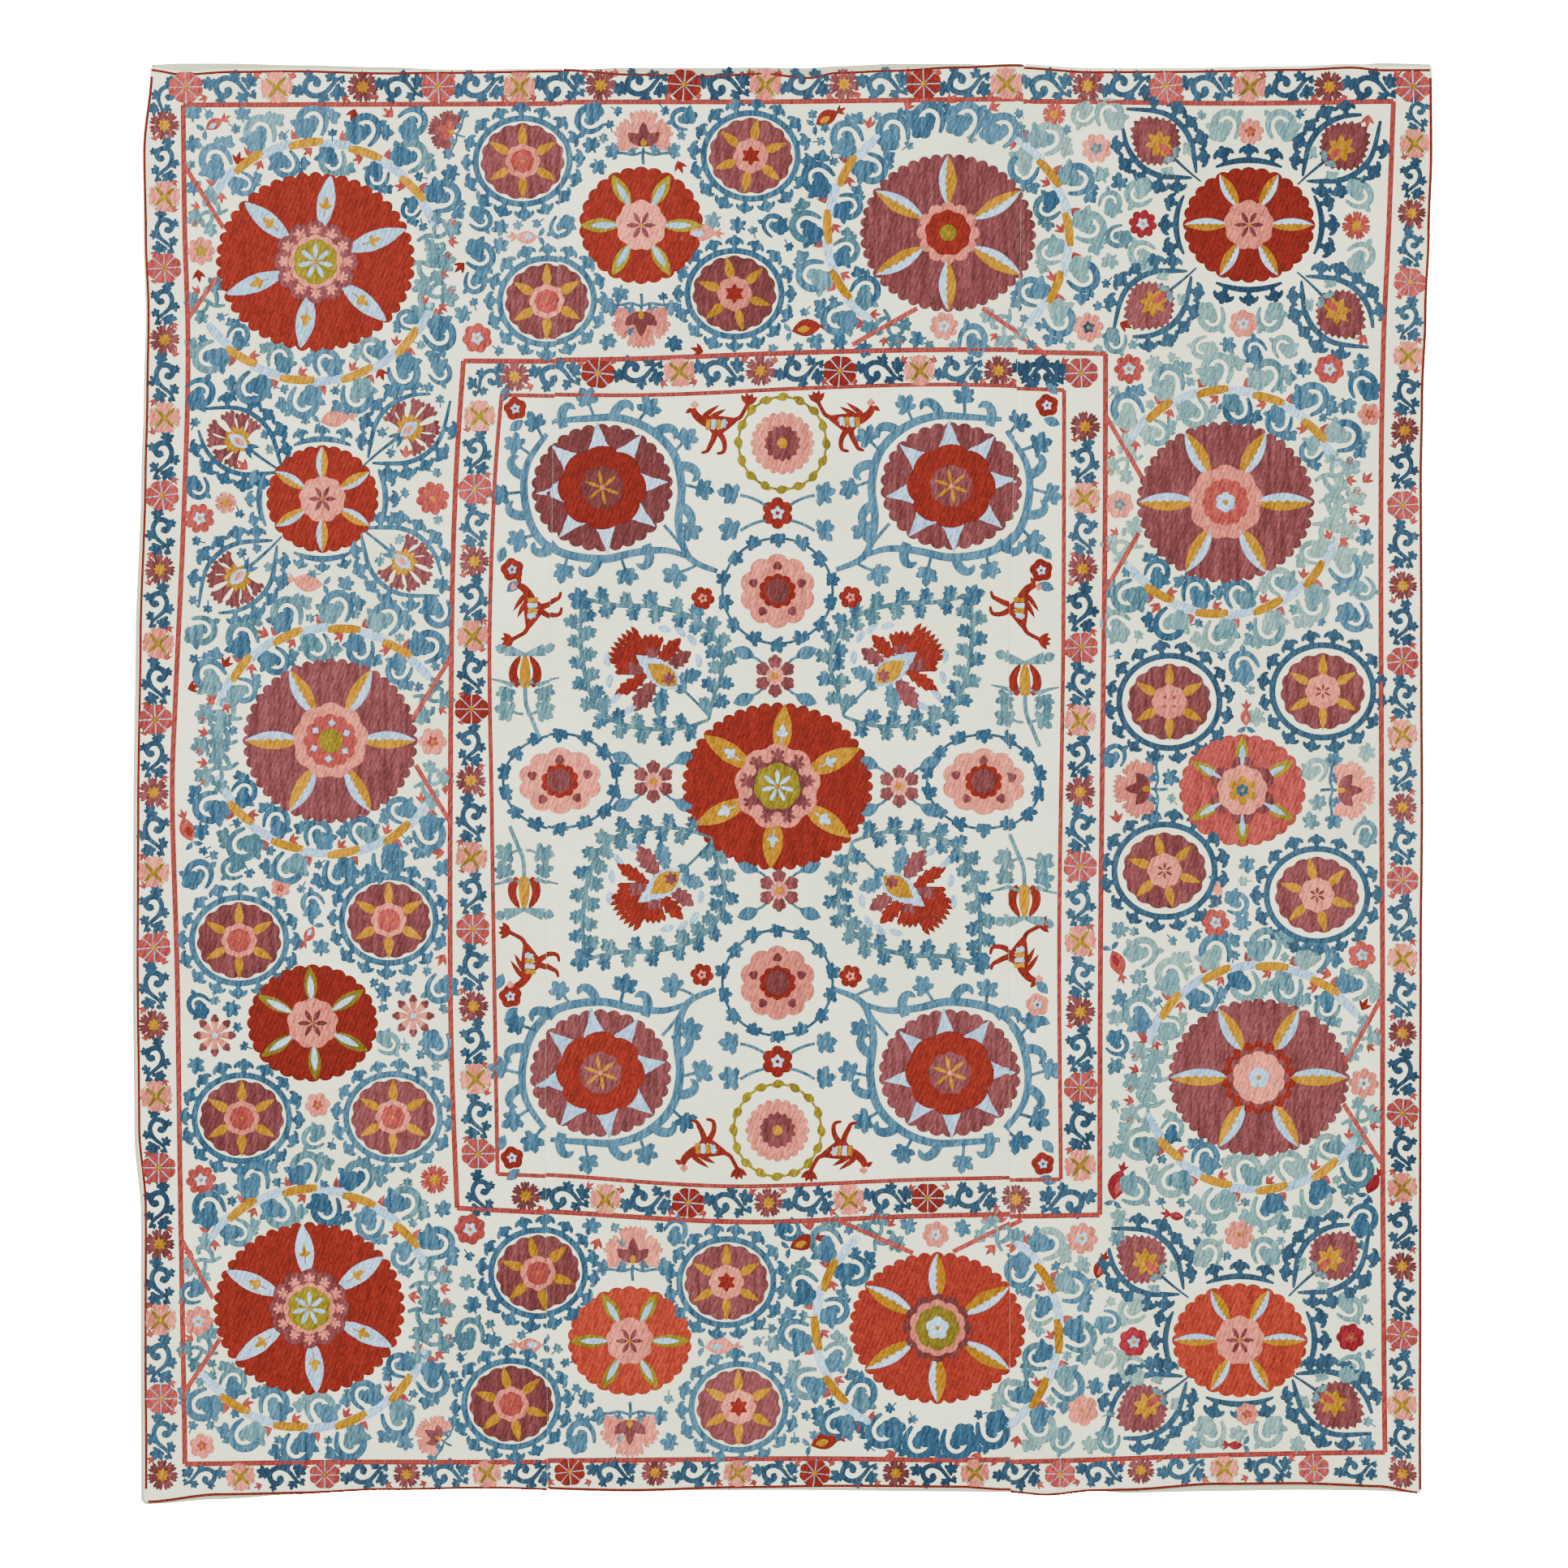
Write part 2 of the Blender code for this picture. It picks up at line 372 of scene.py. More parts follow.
def swell(start, middle, end):
    """A half width that swells towards a middle value between its start and its end."""
    return lambda t: (start * (1 - t) ** 2 + 4 * middle * t * (1 - t) + end * t * t) / (1 + 2 * t * (1 - t))


def serrated(width, teeth, bite):
    """A half width cut into saw teeth, which take off a share of it."""
    return lambda t: width(t) * (1 - bite * (1 - t * teeth % 1.0))


def bend(a, b, bow, count=7):
    """Points from a to b, bowed to the left of the way by a share of its length."""
    middle = (a[0] + b[0]) / 2 - bow * (b[1] - a[1]), (a[1] + b[1]) / 2 + bow * (b[0] - a[0])
    ways = list(zip(a, middle, b))
    shares = [i / (count - 1) for i in range(count)]
    return [[(1 - t) ** 2 * p + 2 * t * (1 - t) * m + t * t * q for p, m, q in ways] for t in shares]


def through(points, count):
    """Points evenly read from a smooth curve through the given ones."""
    padded = [points[0], *points, points[-1]]
    out = []
    for i in range(count):
        at = i / (count - 1) * (len(points) - 1)
        k = min(int(at), len(points) - 2)
        t = at - k
        out.append([
            0.5 * (2 * b + (c - a) * t + (2 * a - 5 * b + 4 * c - d) * t * t + (3 * b - a - 3 * c + d) * t**3)
            for a, b, c, d in zip(*padded[k : k + 4])
        ])
    return out


def oval(wide, high, steps, start=0.0, span=360.0):
    """Points along an oval, or along the part of it that spans some degrees from a start."""
    angles = [math.radians(start + span * i / steps) for i in range(steps + 1)]
    return [(wide * math.cos(a), high * math.sin(a)) for a in angles]


class Pen:
    """A place to draw a motif from: x to the right and y up from it, turned, sized and perhaps mirrored."""

    def __init__(self, x, y, turn=0.0, size=1.0, flip=1):
        self.x, self.y, self.turn, self.size, self.flip = x, y, turn, size, flip

    def spot(self, x, y):
        a = math.radians(self.turn)
        x, y = x * self.flip * self.size, y * self.size
        return self.x + x * math.cos(a) - y * math.sin(a), self.y - x * math.sin(a) - y * math.cos(a)

    def at(self, x, y, turn=0.0, size=1.0, flip=1):
        return Pen(*self.spot(x, y), self.turn + self.flip * turn, self.size * size, self.flip * flip)

    def out(self, angle, across, up=None, size=1.0, flip=1):
        """A pen on an oval around this one, with its own up pointing outwards."""
        a = math.radians(angle)
        return self.at(across * math.cos(a), (up or across) * math.sin(a), angle - 90, size, flip)

    def turns(self, count, first=0.0):
        """Pens here, turned evenly all the way round."""
        return [self.at(0, 0, 360 / count * k + first) for k in range(count)]

    def halves(self):
        """Pens here for the left and the right half of a motif that is the same on both sides."""
        return [self.at(0, 0, flip=mirror) for mirror in (-1, 1)]

    def tone(self):
        """How far a patch takes its thread's other tone: much alike for patches that lie near each other."""
        x, y = self.spot(0, 0)
        return 1.3 * noise.noise(Vector((x / 130, y / 130, 2.5))) + random.uniform(-0.35, 0.35)

    def round(self, thread, radius, outline=None, sides=16, level=0, wide=1.0, tone=None):
        """A filled round patch, as high as its level and sloping down at its rim."""
        outline = outline or (lambda a: 1.0)
        slope = min(EDGE_SLOPE / (radius * self.size), 0.3)
        steps = max(1, round(radius * self.size / 18))
        shares = [(1 - slope) * step / steps for step in range(steps + 1)] + [1.0]
        base = level * LEVEL_STEP

        def spot(column, row):
            a = math.tau * column / sides
            share = shares[row]
            r = radius * share * (1 + (outline(a) - 1) * share**3)
            x, y = self.spot(r * wide * math.cos(a), r * math.sin(a))
            height = base + STITCH_RISE if share < 1 else base + STITCH_RIM
            return x, y, height, (1 - share) * radius * self.size

        work.patch(thread, sides + 1, len(shares), spot, self.tone() if tone is None else tone, wraps=True)
        reach = radius * self.size
        if reach > 14:
            work.keep_out.append((self.x, self.y, reach * max(wide, 1.0)))
        for step in range(0, sides, max(1, sides // 12)):
            a = math.tau * step / sides
            work.taken.append(self.spot(radius * wide * math.cos(a), radius * math.sin(a)))

    def ribbon(self, thread, path, left, right=None, level=0, tone=None, ridge=True):
        """A band of stitches along a path, with its half width to the left and to the right of the way."""
        left = left if callable(left) else (lambda t, w=left: w)
        right = left if right is None else right
        right = right if callable(right) else (lambda t, w=right: w)
        base, last = level * LEVEL_STEP, len(path) - 1
        places = (1, 0.5, -0.5, -1) if ridge else (1, 0, -1)

        def spot(column, row):
            x, y = path[row]
            before, after = path[max(row - 1, 0)], path[min(row + 1, last)]
            dx, dy = after[0] - before[0], after[1] - before[1]
            length = math.hypot(dx, dy) or 1.0
            place, t = places[column], row / last
            width = left(t) if place > 0 else right(t)
            px, py = self.spot(x - dy / length * width * place, y + dx / length * width * place)
            inside = abs(place) < 1
            full = min(1.0, width * self.size / 0.8) if inside else 0.0
            height = base + STITCH_RIM + (STITCH_RISE - STITCH_RIM) * full
            return px, py, height, (1 - abs(place)) * width * self.size

        work.patch(thread, len(places), len(path), spot, self.tone() if tone is None else tone)
        work.taken.extend(self.spot(*point) for point in path[:: max(1, last // 6)])

    def line(self, thread, a, b, width, level=0, **more):
        """A straight band from a to b."""
        self.ribbon(thread, bend(a, b, 0.0, 3), width, level=level, **more)

    def petal(self, thread, start, end, width, level=1, lean=0.0, count=8, peak=0.5, full=1.9, **more):
        """A pointed leaf that grows up from start to end, leaning to the left by a share of its length."""
        path, half = bend((0, start), (0, end), lean, count), blade(width / 2, peak, full)
        self.ribbon(thread, path, half, level=level, **more)

    def leaflet(self, thread, start, end, width, level=0, count=5, **more):
        """A small petal without a ridge."""
        self.petal(thread, start, end, width, level=level, count=count, ridge=False, **more)

    def toothed(self, thread, start, end, narrow, wide, level=0, bite=0.3, teeth=3, belly=0.44):
        """A petal that widens outwards and ends in pointed teeth, as long as a share of its width."""
        tone = self.tone()
        body = swell(narrow / 2, wide * belly, wide / 2)
        self.ribbon(thread, bend((0, start), (0, end), 0.03, 6), body, level=level, tone=tone)
        for number in range(teeth):
            across = (number + 0.5) / teeth - 0.5
            tooth = self.at(across * wide, end - across * across * wide * 0.5, -32 * across)
            tooth.leaflet(thread, -4, wide * bite, wide * 1.2 / teeth, level, 4, peak=0.4, tone=tone)


def leaf_thread(x):
    """The greener greys were used for half the leaves of the right panel, the blues for the others."""
    share = random.random()
    if x > 1255:
        return "sage" if share < 0.42 else "teal" if share < 0.62 else "blue"
    return "teal" if share < 0.22 else "blue"


def fan_leaf(pen, thread="blue", size=1.0, tone=None, stem=0.0, level=0):
    """A leaf of five spread lobes at the end of a stem, growing up from the pen."""
    tone = pen.tone() if tone is None else tone
    if stem:
        pen.line(thread, (0, -stem), (0, 2), 2.0 * size, level=level, tone=tone)
    pen.at(0, 6 * size, 0, size).round(thread, 8, sides=10, tone=tone, level=level)
    for turn, length, width in ((0, 17, 11), (52, 16.5, 10), (-52, 16.5, 10), (106, 14, 9), (-106, 14, 9)):
        lobe = pen.at(0, 6 * size, turn + random.uniform(-9, 9), size * random.uniform(0.88, 1.1))
        lobe.leaflet(thread, 0, length, width, level, lean=turn / 500, peak=0.62, tone=tone)


def hook(pen, tone):
    """A blue horn that rises from a stem and turns over to a point."""
    path = through([(-4, -3), (-1, 9), (6, 17), (14, 17), (18, 10)], 10)
    pen.ribbon("blue", path, swell(5.5, 6.6, 0.6), tone=tone)


def comma(pen, thread, second=None, tip=True):
    """A fat curled leaf: a lobed head with a knob that turns in under an arch, and a small leaf beyond it."""
    tone = pen.tone()
    second = second or thread
    arch = through([(-17, -3), (-15, 9), (-5, 17), (6, 17), (15, 8), (15.5, -5), (10, -17)], 16)
    pen.ribbon(second, arch, swell(4.8, 5.0, 2.0), tone=tone)
    pen.at(-10, -8, 20).round(thread, 13.5, scallop(5, 0.24, 200), sides=40, tone=tone, wide=1.12)
    knob = through([(-8, -6), (0, -4), (3.5, 1), (0.5, 5), (-3, 4)], 9)
    pen.ribbon(thread, knob, swell(6.0, 4.8, 3.2), ridge=False, tone=tone)
    pen.at(-20, -2, 62).leaflet(thread, -4, 10, 9.5, count=4, tone=tone)
    pen.at(14, 13, -42).leaflet(second, -4, 11, 9.5, count=4, tone=tone)
    if tip:
        pen.line(second, (15, 2), (23, 6), 2.0, tone=tone)
        for turn, length, width in ((-75, 12, 9), (-13, 10.5, 8), (-137, 10.5, 8)):
            pen.at(22, 6, turn, 1.15).leaflet(second, -2, length, width, peak=0.6, tone=tone)


def spray(pen, thread):
    """A branching stem that ends in lobed leaves, with buds between them."""
    tone = pen.tone()
    pen.ribbon(thread, through([(2, -32), (-2, -18), (3, -4), (-1, 8)], 8), swell(2.0, 3.4, 2.2), tone=tone)
    fan_leaf(pen.at(-1, 6, 15), thread, 0.95, tone)
    branch = through([(0, 0), (10, 1), (19, 8), (18, 18), (10, 17)], 9)
    for mirror, foot, size in ((1, -20, 1.0), (-1, -9, 0.8)):
        half = pen.at(0, foot, 0, size, mirror)
        half.ribbon(thread, branch, swell(2.2, 4.6, 2.6), tone=tone)
        fan_leaf(half.at(20, 5, -85), thread, 0.9, tone)
        tulip(half.at(11, 27, -25), "coral", 0.85)


def tulip(pen, thread, size):
    """A small bud of three points."""
    tone = pen.tone()
    for turn, length, width in ((0, 15, 6.6), (44, 12.5, 5.2), (-44, 12.5, 5.2)):
        pen.at(0, 0, turn, size).leaflet(thread, -3, length, width, peak=0.38, tone=tone)


def core(pen, thread, size):
    """The three-lobed heart of a petal, on a short stalk."""
    tone = pen.tone()
    pen.at(0, 0, 0, size).line(thread, (0, -15), (0, -4), 1.1, level=2, tone=tone)
    for turn, length, width in ((0, 15, 11), (68, 9.5, 9), (-68, 9.5, 9)):
        pen.at(0, -3 * size, turn, size).leaflet(thread, -4, length, width, 2, 6, tone=tone)


def blossom(pen, outer, inner, radius, lobes, eye="gold"):
    """A round flower of rounded petals with a small star in it."""
    pen.round(outer, radius * 1.05, scallop(lobes, 0.22), sides=lobes * 6)
    pen.round(inner, radius * 0.5, star(5, 0.5), sides=20, level=1)
    pen.round(eye, radius * 0.16, sides=6, level=2)


def wheel(pen, cloth="coral"):
    """A round border flower with eight pale spokes and a gold eye."""
    pen.round(cloth, 20.3, scallop(8, 0.12, 112), sides=48, wide=1.12)
    for spoke in pen.turns(8):
        spoke.line("pale", (0, 3), (0, 21), 0.85, level=1, ridge=False)
    pen.round("gold", 4.6, star(8, 0.3), sides=16, level=2)


def crossed(pen):
    """A pink flower of four wide petals, with two olive leaves crossing in the gaps between them."""
    for petal in pen.turns(4):
        petal.toothed("pink", 4, 19, 3, 24, bite=0.1)
    for turn in (45, 135):
        pen.at(0, 0, turn).ribbon("olive", bend((0, -21), (0, 21), 0.03, 9), lens(2.7), level=1)
    pen.round("gold", 3, sides=8, level=2)


def carnation(pen, cloth="plum"):
    """A round flower of seven toothed petals with a gold star."""
    for petal in pen.turns(7, 8):
        petal.toothed(cloth, 4, 17, 3, 12.5)
    pen.round("gold", 9.5, star(8, 0.5), sides=32, level=1)


def scroll(pen):
    """The leafy scroll between two flowers of a border, lying along the pen's x."""
    tone = pen.tone()
    winding = [(-33, -15), (-21, -8), (-8, 7), (7, 12), (19, 5), (18, -7), (9, -12), (2, -7), (5, -1)]
    pen.ribbon("navy", through(winding, 26), swell(1.4, 5.0, 3.8), tone=tone)
    pen.at(4, -5).round("navy", 5.5, sides=12, tone=tone)
    for x, y, turn, size in SCROLL_LEAVES:
        fan_leaf(pen.at(x, y, turn), "navy", size, tone)


# The leaves of a scroll: place, turn and size
SCROLL_LEAVES = (
    (-19, 4, 62, 0.82), (-3, 11, 12, 0.62), (-16, -9, -165, 0.6), (24, 3, -70, 0.74), (13, -13, -165, 0.5),
    (-27, -9, 80, 0.36),
)
# The flowers of the borders: w and W are wheels in coral and red
FLOWERS = {"w": wheel, "W": lambda pen: wheel(pen, "red"), "x": crossed, "p": carnation}
# The borders. A row is one side of one border: which way it runs, how large its flowers are, where its middle
# line lies as (along, across) pairs, its flowers in order, and where along it each of them stands.
Place = namedtuple("Place", "along across")
Band = namedtuple("Band", "runs size across flowers places")
BANDS = (
    Band("x", 0.98, ((165, 106), (690, 105), (1250, 103), (1760, 104)), "wxpwxpWxpWxpwxpw",
         (229, 341, 447, 540, 640, 740, 843, 943, 1040, 1138, 1240, 1340, 1437, 1540, 1638, 1741)),
    Band("y", 0.95, ((104, 203), (513, 203), (700, 197), (975, 190), (1261, 190), (1437, 196), (1700, 199),
                     (1830, 202)), "pxwpxwpxwpxwpxwpxwp",
         (153, 241, 329, 417, 513, 609, 700, 791, 885, 975, 1073, 1166, 1261, 1349, 1437, 1531, 1624, 1721,
          1814)),
    Band("y", 0.9, ((120, 1744), (345, 1737), (620, 1728), (1800, 1727)), "xpwxpwpwxpwxpwxpwxp",
         (174, 260, 345, 436, 528, 620, 719, 812, 902, 992, 1082, 1178, 1270, 1368, 1460, 1557, 1642, 1728,
          1812)),
    Band("x", 0.86, ((203, 1818), (400, 1816), (700, 1813), (1000, 1816), (1250, 1814), (1500, 1807),
                     (1730, 1807)), "xwpxWpxWpxwpxw",
         (297, 400, 501, 600, 702, 807, 909, 1004, 1104, 1201, 1306, 1406, 1509, 1619)),
    Band("x", 0.95, ((570, 463), (900, 457), (1340, 457)), "pWxpWxpw",
         (634, 737, 837, 937, 1035, 1133, 1230, 1332)),
    Band("y", 0.95, ((450, 594), (600, 585), (960, 580), (1200, 583), (1480, 590)), "xwpxWpxwpxw",
         (511, 601, 690, 782, 872, 960, 1055, 1143, 1238, 1328, 1420)),
    Band("x", 0.93, ((560, 1470), (907, 1483), (1140, 1476), (1350, 1474)), "pxWpxWp",
         (648, 746, 848, 947, 1046, 1143, 1252)),
    Band("y", 0.95, ((500, 1337), (900, 1331), (1440, 1331)), "pxpwxpwxpwx",
         (523, 611, 698, 795, 885, 973, 1065, 1157, 1244, 1337, 1433)),
)
# Scrolls at the corners of the borders: place, turn and size
CORNER_SCROLLS = (
    (251, 1816, 0, 0.72), (1672, 1808, 180, 0.72), (1746, 138, 90, 0.66), (203, 119, 60, 0.72),
    (600, 466, 30, 0.72), (592, 1470, 90, 0.8), (1314, 1477, 0, 0.95), (1286, 457, 0, 0.85),
)
# The lines that part the borders: the points that each is drawn through, and its half width
LINES = (
    (((226, 128), (450, 127), (690, 126), (960, 125), (1250, 122), (1500, 124), (1717, 122)), 3.2),
    (((1717, 122), (1711, 280), (1704, 433), (1701, 650), (1703, 1150), (1703, 1430), (1706, 1786)), 3.2),
    (((229, 1801), (520, 1800), (900, 1798), (1250, 1798), (1500, 1791), (1706, 1786)), 3.2),
    (((226, 128), (228, 280), (232, 440), (226, 647), (217, 850), (213, 983), (219, 1200), (222, 1430),
      (229, 1801)), 3.2),
    (((571, 443), (760, 443), (1000, 434), (1200, 431), (1362, 433)), 3.2),
    (((1362, 433), (1361, 700), (1356, 1150), (1355, 1494)), 3.2),
    (((563, 1487), (700, 1494), (923, 1506), (1140, 1498), (1355, 1494)), 3.2),
    (((571, 443), (561, 600), (556, 806), (555, 1230), (563, 1487)), 3.2),
    (((618, 485), (800, 487), (1000, 478), (1160, 474), (1311, 478)), 2.6),
    (((1311, 478), (1310, 800), (1305, 1150), (1307, 1450)), 2.6),
    (((613, 1445), (700, 1449), (907, 1462), (1140, 1453), (1307, 1450)), 2.6),
    (((618, 485), (609, 600), (603, 791), (606, 1000), (609, 1200), (613, 1445)), 2.6),
)


def chain(thread, points, width, tone, level=0):
    """A line of stitches through places on the cloth."""
    Pen(0, 0).ribbon(thread, [(x, -y) for x, y in points], width, tone=tone, level=level)


def draw_lines():
    """The lines that part the borders, and the red edge stitching just inside the rim of the cloth."""
    for points, width in LINES:
        count = max(4, int(math.dist(points[0], points[-1]) / 16))
        chain("coral", through(points, count), width, -0.9)
    for column, inset in (("front_left", EDGE_INSET), ("front_right", -EDGE_INSET)):
        drops = [11 * step for step in range(1, 160)]
        path = [(side(drop * UNIT, column) / UNIT + MIDDLE + inset, TOP + drop) for drop in drops]
        chain("red", path, EDGE_WIDTH, -0.3)
    for table, inset, places in (
        (TOP_EDGE, EDGE_INSET, range(187, 1764, 7)),
        (BOTTOM_EDGE, -EDGE_INSET, range(184, 1750, 7)),
    ):
        path = [(x, TOP - edge(table, (x - MIDDLE) * UNIT, "front") / UNIT + inset) for x in places]
        chain("red", path, EDGE_WIDTH, -0.3)


def draw_bands():
    """The borders: flowers in a row, and scrolls with coral buds that turn this way and that between them."""
    for band in BANDS:
        upright = band.runs == "y"
        line = [Place(*pair) for pair in band.across]
        spots = []
        for kind, along in zip(band.flowers, band.places):
            across = eased(line, "along", along, "across")
            spots.append((across, along) if upright else (along, across))
            FLOWERS[kind](Pen(*spots[-1], random.uniform(-8, 8), band.size))
        for number, (a, b) in enumerate(zip(spots, spots[1:])):
            turn = (-90 if upright else 0) + (180 if number % 2 else 0)
            size = min(math.dist(a, b) / 96, 1.05) * band.size * 0.9
            pen = Pen((a[0] + b[0]) / 2, (a[1] + b[1]) / 2, turn, size, 1 if number % 2 else -1)
            scroll(pen)
            for x, y, aim in ((-31, 14, 60), (33, -14, -110)):
                tulip(pen.at(x, y, aim), "coral", 0.8)
    for place in CORNER_SCROLLS:
        scroll(Pen(*place))


# The medallions. start is the turn of the first of six petals, and gap the middle of the ring's missing part.
Medallion = namedtuple("Medallion", "x y wide high lobes cloth petals start heart ring gap")
MEDALLIONS = [Medallion(*row) for row in (
    (389, 321, 122, 110, 44, "red", "cored", 80, "olive star", 150, 178),
    (407, 911, 107, 101, 44, "plum", "halved", 0, "six dots", 142, 0),
    (381, 1611, 117, 106, 44, "red", "cored", 95, "olive star", 150, 178),
    (1168, 287, 108, 97, 44, "plum", "halved", 90, "red flower", 146, -90),
    (1510, 616, 109, 99, 44, "plum", "halved", 0, "pink rings", 141, 180),
    (1551, 1325, 111, 97, 44, "plum", "halved", 0, "red lobes", 141, 0),
    (1155, 1636, 108, 93, 40, "orange", "halved", 90, "olive ring", 147, 90),
    (958, 969, 117, 103, 44, "red", "gold cored", 85, "rosy star", 0, 0),
    (397, 613, 69, 66, 26, "red", "halved", 90, "pink star", 0, 0),
    (790, 278, 76, 72, 26, "red", "olive cored", 0, "pink star", 0, 0),
    (1539, 274, 81, 71, 28, "red", "halved", 0, "pink star", 0, 0),
    (1531, 971, 78, 69, 26, "coral", "olive cored", 90, "blue eye", 0, 0),
    (385, 1259, 80, 72, 28, "red", "olive cored", 93, "pink star", 0, 0),
    (776, 1652, 76, 67, 26, "orange", "olive cored", 0, "pink star", 0, 0),
    (1528, 1649, 83, 70, 28, "orange", "halved", 0, "pink star", 0, 0),
)]
# Each heart, from the outside in: a colour, a share of the medallion, and its lobes
HEARTS = {
    "olive star": (("plum", 0.47, 12, 0.12), ("pink", 0.31, 12, 0.1), ("olive", 0.26, 6, 0.1)),
    "rosy star": (("pink", 0.52, 9, 0.14), ("plum", 0.35, 9, 0.2), ("olive", 0.29, 7, 0.12)),
    "six dots": (("pink", 0.47, 9, 0.12), ("coral", 0.335, 12, 0.12), ("olive", 0.15, 6, 0.0)),
    "red flower": (("pink", 0.40, 12, 0.14), ("red", 0.30, 9, 0.12), ("olive", 0.11, 6, 0.0)),
    "pink rings": (("pink", 0.47, 9, 0.12), ("coral", 0.30, 12, 0.1), ("pale", 0.13, 6, 0.2)),
    "red lobes": (("red", 0.47, 18, 0.14), ("plum", 0.40, 12, 0.2), ("pink", 0.34, 10, 0.08),
                  ("pale", 0.14, 5, 0.25)),
    "olive ring": (("plum", 0.46, 12, 0.16), ("pink", 0.38, 10, 0.1), ("olive", 0.30, 8, 0.08),
                   ("pale", 0.16, 5, 0.3)),
    "pink star": (("pink", 0.44, 9, 0.12),),
    "blue eye": (("plum", 0.62, 6, 0.3), ("pink", 0.46, 9, 0.12), ("gold", 0.27, 6, 0.5),
                 ("navy", 0.12, 6, 0.2)),
}
# The fans round two of the hearts: how many, their thread, how far out, and the radius for one of full size
FANS = {"olive star": (12, "pink", 0.315, 205), "rosy star": (9, "plum", 0.325, 150)}


def medallion_petals(m, pen):
    """Six petals that reach from the heart to the rim, each in one or two colours."""
    inner, width = 0.34 * m.high, (0.26 if m.petals == "gold cored" else 0.25) * m.high
    for k in range(6):
        a = math.radians(m.start + 60 * k)
        outer = 0.99 / math.hypot(math.cos(a) / m.wide, math.sin(a) / m.high)
        long = outer - inner
        petal = pen.at(0, 0, m.start - 90 + 60 * k)
        if m.petals == "olive cored":
            petal.petal("olive", inner, outer, width * 1.05, count=12)
            petal.petal("pale", inner + long * 0.05, inner + long * 0.76, width * 0.52, count=10, level=2)
        elif m.petals == "halved":
            petal.petal("gold", inner, outer, width, count=14)
            halved(petal if k % 2 else petal.at(0, 0, flip=-1), inner, outer, width)
        else:
            first, second = ("pale", "gold") if m.petals == "cored" else ("gold", "pale")
            petal.petal(first, inner, outer, width, count=14)
            core(petal.at(0, inner + long * 0.47), second, m.high / 112)


def halved(pen, inner, outer, width):
    """The pale half of a petal, with a fine zigzag down the middle."""
    whole = blade(width / 2)
    zigzag = lambda t: whole(t) * (0.66 - 0.34 * abs(2 * (t * 7 % 1.0) - 1))
    path = [(0.5 * whole(i / 28), inner + (outer - inner) * i / 28) for i in range(29)]
    pen.ribbon("pale", path, zigzag, lambda t: whole(t) * 0.42, level=2, ridge=False)


def heart(pen, name, radius):
    """The rings, fans and star in the middle of a medallion."""
    for number, (thread, share, lobes, depth) in enumerate(HEARTS[name]):
        outline = scallop(lobes, depth) if depth else None
        pen.round(thread, radius * share, outline, sides=lobes * 6, level=number + 2)
    if name == "pink star":
        for ray in pen.turns(6, 30):
            ray.petal("plum", 1, radius * 0.27, radius * 0.1, level=3, count=6)
    if name in FANS:
        count, thread, far, size = FANS[name]
        for fan in pen.turns(count):
            fan_leaf(fan.at(0, radius * far), thread, radius / size, 0.0, level=3)
        for ray in pen.turns(7):
            ray.petal("pale", 1, radius * 0.21, radius * 0.062, level=5, count=6, peak=0.65)
    if name == "six dots":
        for k in range(6):
            pen.out(60 * k + 25, radius * 0.22).round("pale", radius * 0.05, star(4, 0.4), sides=8, level=5)
    pen.round("gold", radius * 0.035, sides=8, level=6)


def draw_medallions():
    for m in MEDALLIONS:
        pen = Pen(m.x, m.y)
        pen.round(m.cloth, m.high * 1.01, scallop(m.lobes, 0.05), sides=m.lobes * 6, wide=m.wide / m.high)
        medallion_petals(m, pen)
        heart(pen, m.heart, m.high)
        if m.ring:
            dashed_ring(m, pen)


def dashes(pen, wide, high, first, arc, count):
    """An arc of gold and pale dashes, each lying a little across the ring."""
    step = arc / count
    for k in range(count):
        path = []
        for i in range(5):
            t = i / 4
            a = math.radians(first + step * (k + t * 1.14 - 0.07))
            off = 3.5 * (0.5 - t)
            path.append(((wide + off) * math.cos(a), (high + off) * math.sin(a)))
        pen.ribbon("gold" if k % 2 else "pale", path, lambda t: 5.3 * min(1.0, 0.8 + t, 1.8 - t), level=k % 2)


def ring_leaves(m, pen, wide, high, first, arc, rows):
    """Curled leaves and coral buds along an arc: a row outside it and a shorter row inside it."""
    for k in range(rows):
        a = first + arc * (k + 0.5) / rows
        threads = [leaf_thread(m.x + wide * math.cos(math.radians(a))) for _ in range(2)]
        comma(pen.out(a, wide + 25, high + 25), *threads)
        tulip(pen.out(a + 9, wide + 8, high + 8).at(0, 0, -50), "coral", 0.9)
    for k in range(rows - 1):
        a = first + arc * (k + 0.5) / (rows - 1)
        room = m.ring - math.hypot(m.wide * math.cos(math.radians(a)), m.high * math.sin(math.radians(a))) - 8
        size = min(max(room / 37, 0.62), 0.95)
        off = 6 + 18 * size
        threads = [leaf_thread(m.x + wide * math.cos(math.radians(a))) for _ in range(2)]
        comma(pen.out(a, wide - off, high - off, size).at(0, 0, 180, 1.0, -1), *threads)
        tulip(pen.out(a + 12, wide - 8, high - 8).at(0, 0, 130), "coral", 0.85)


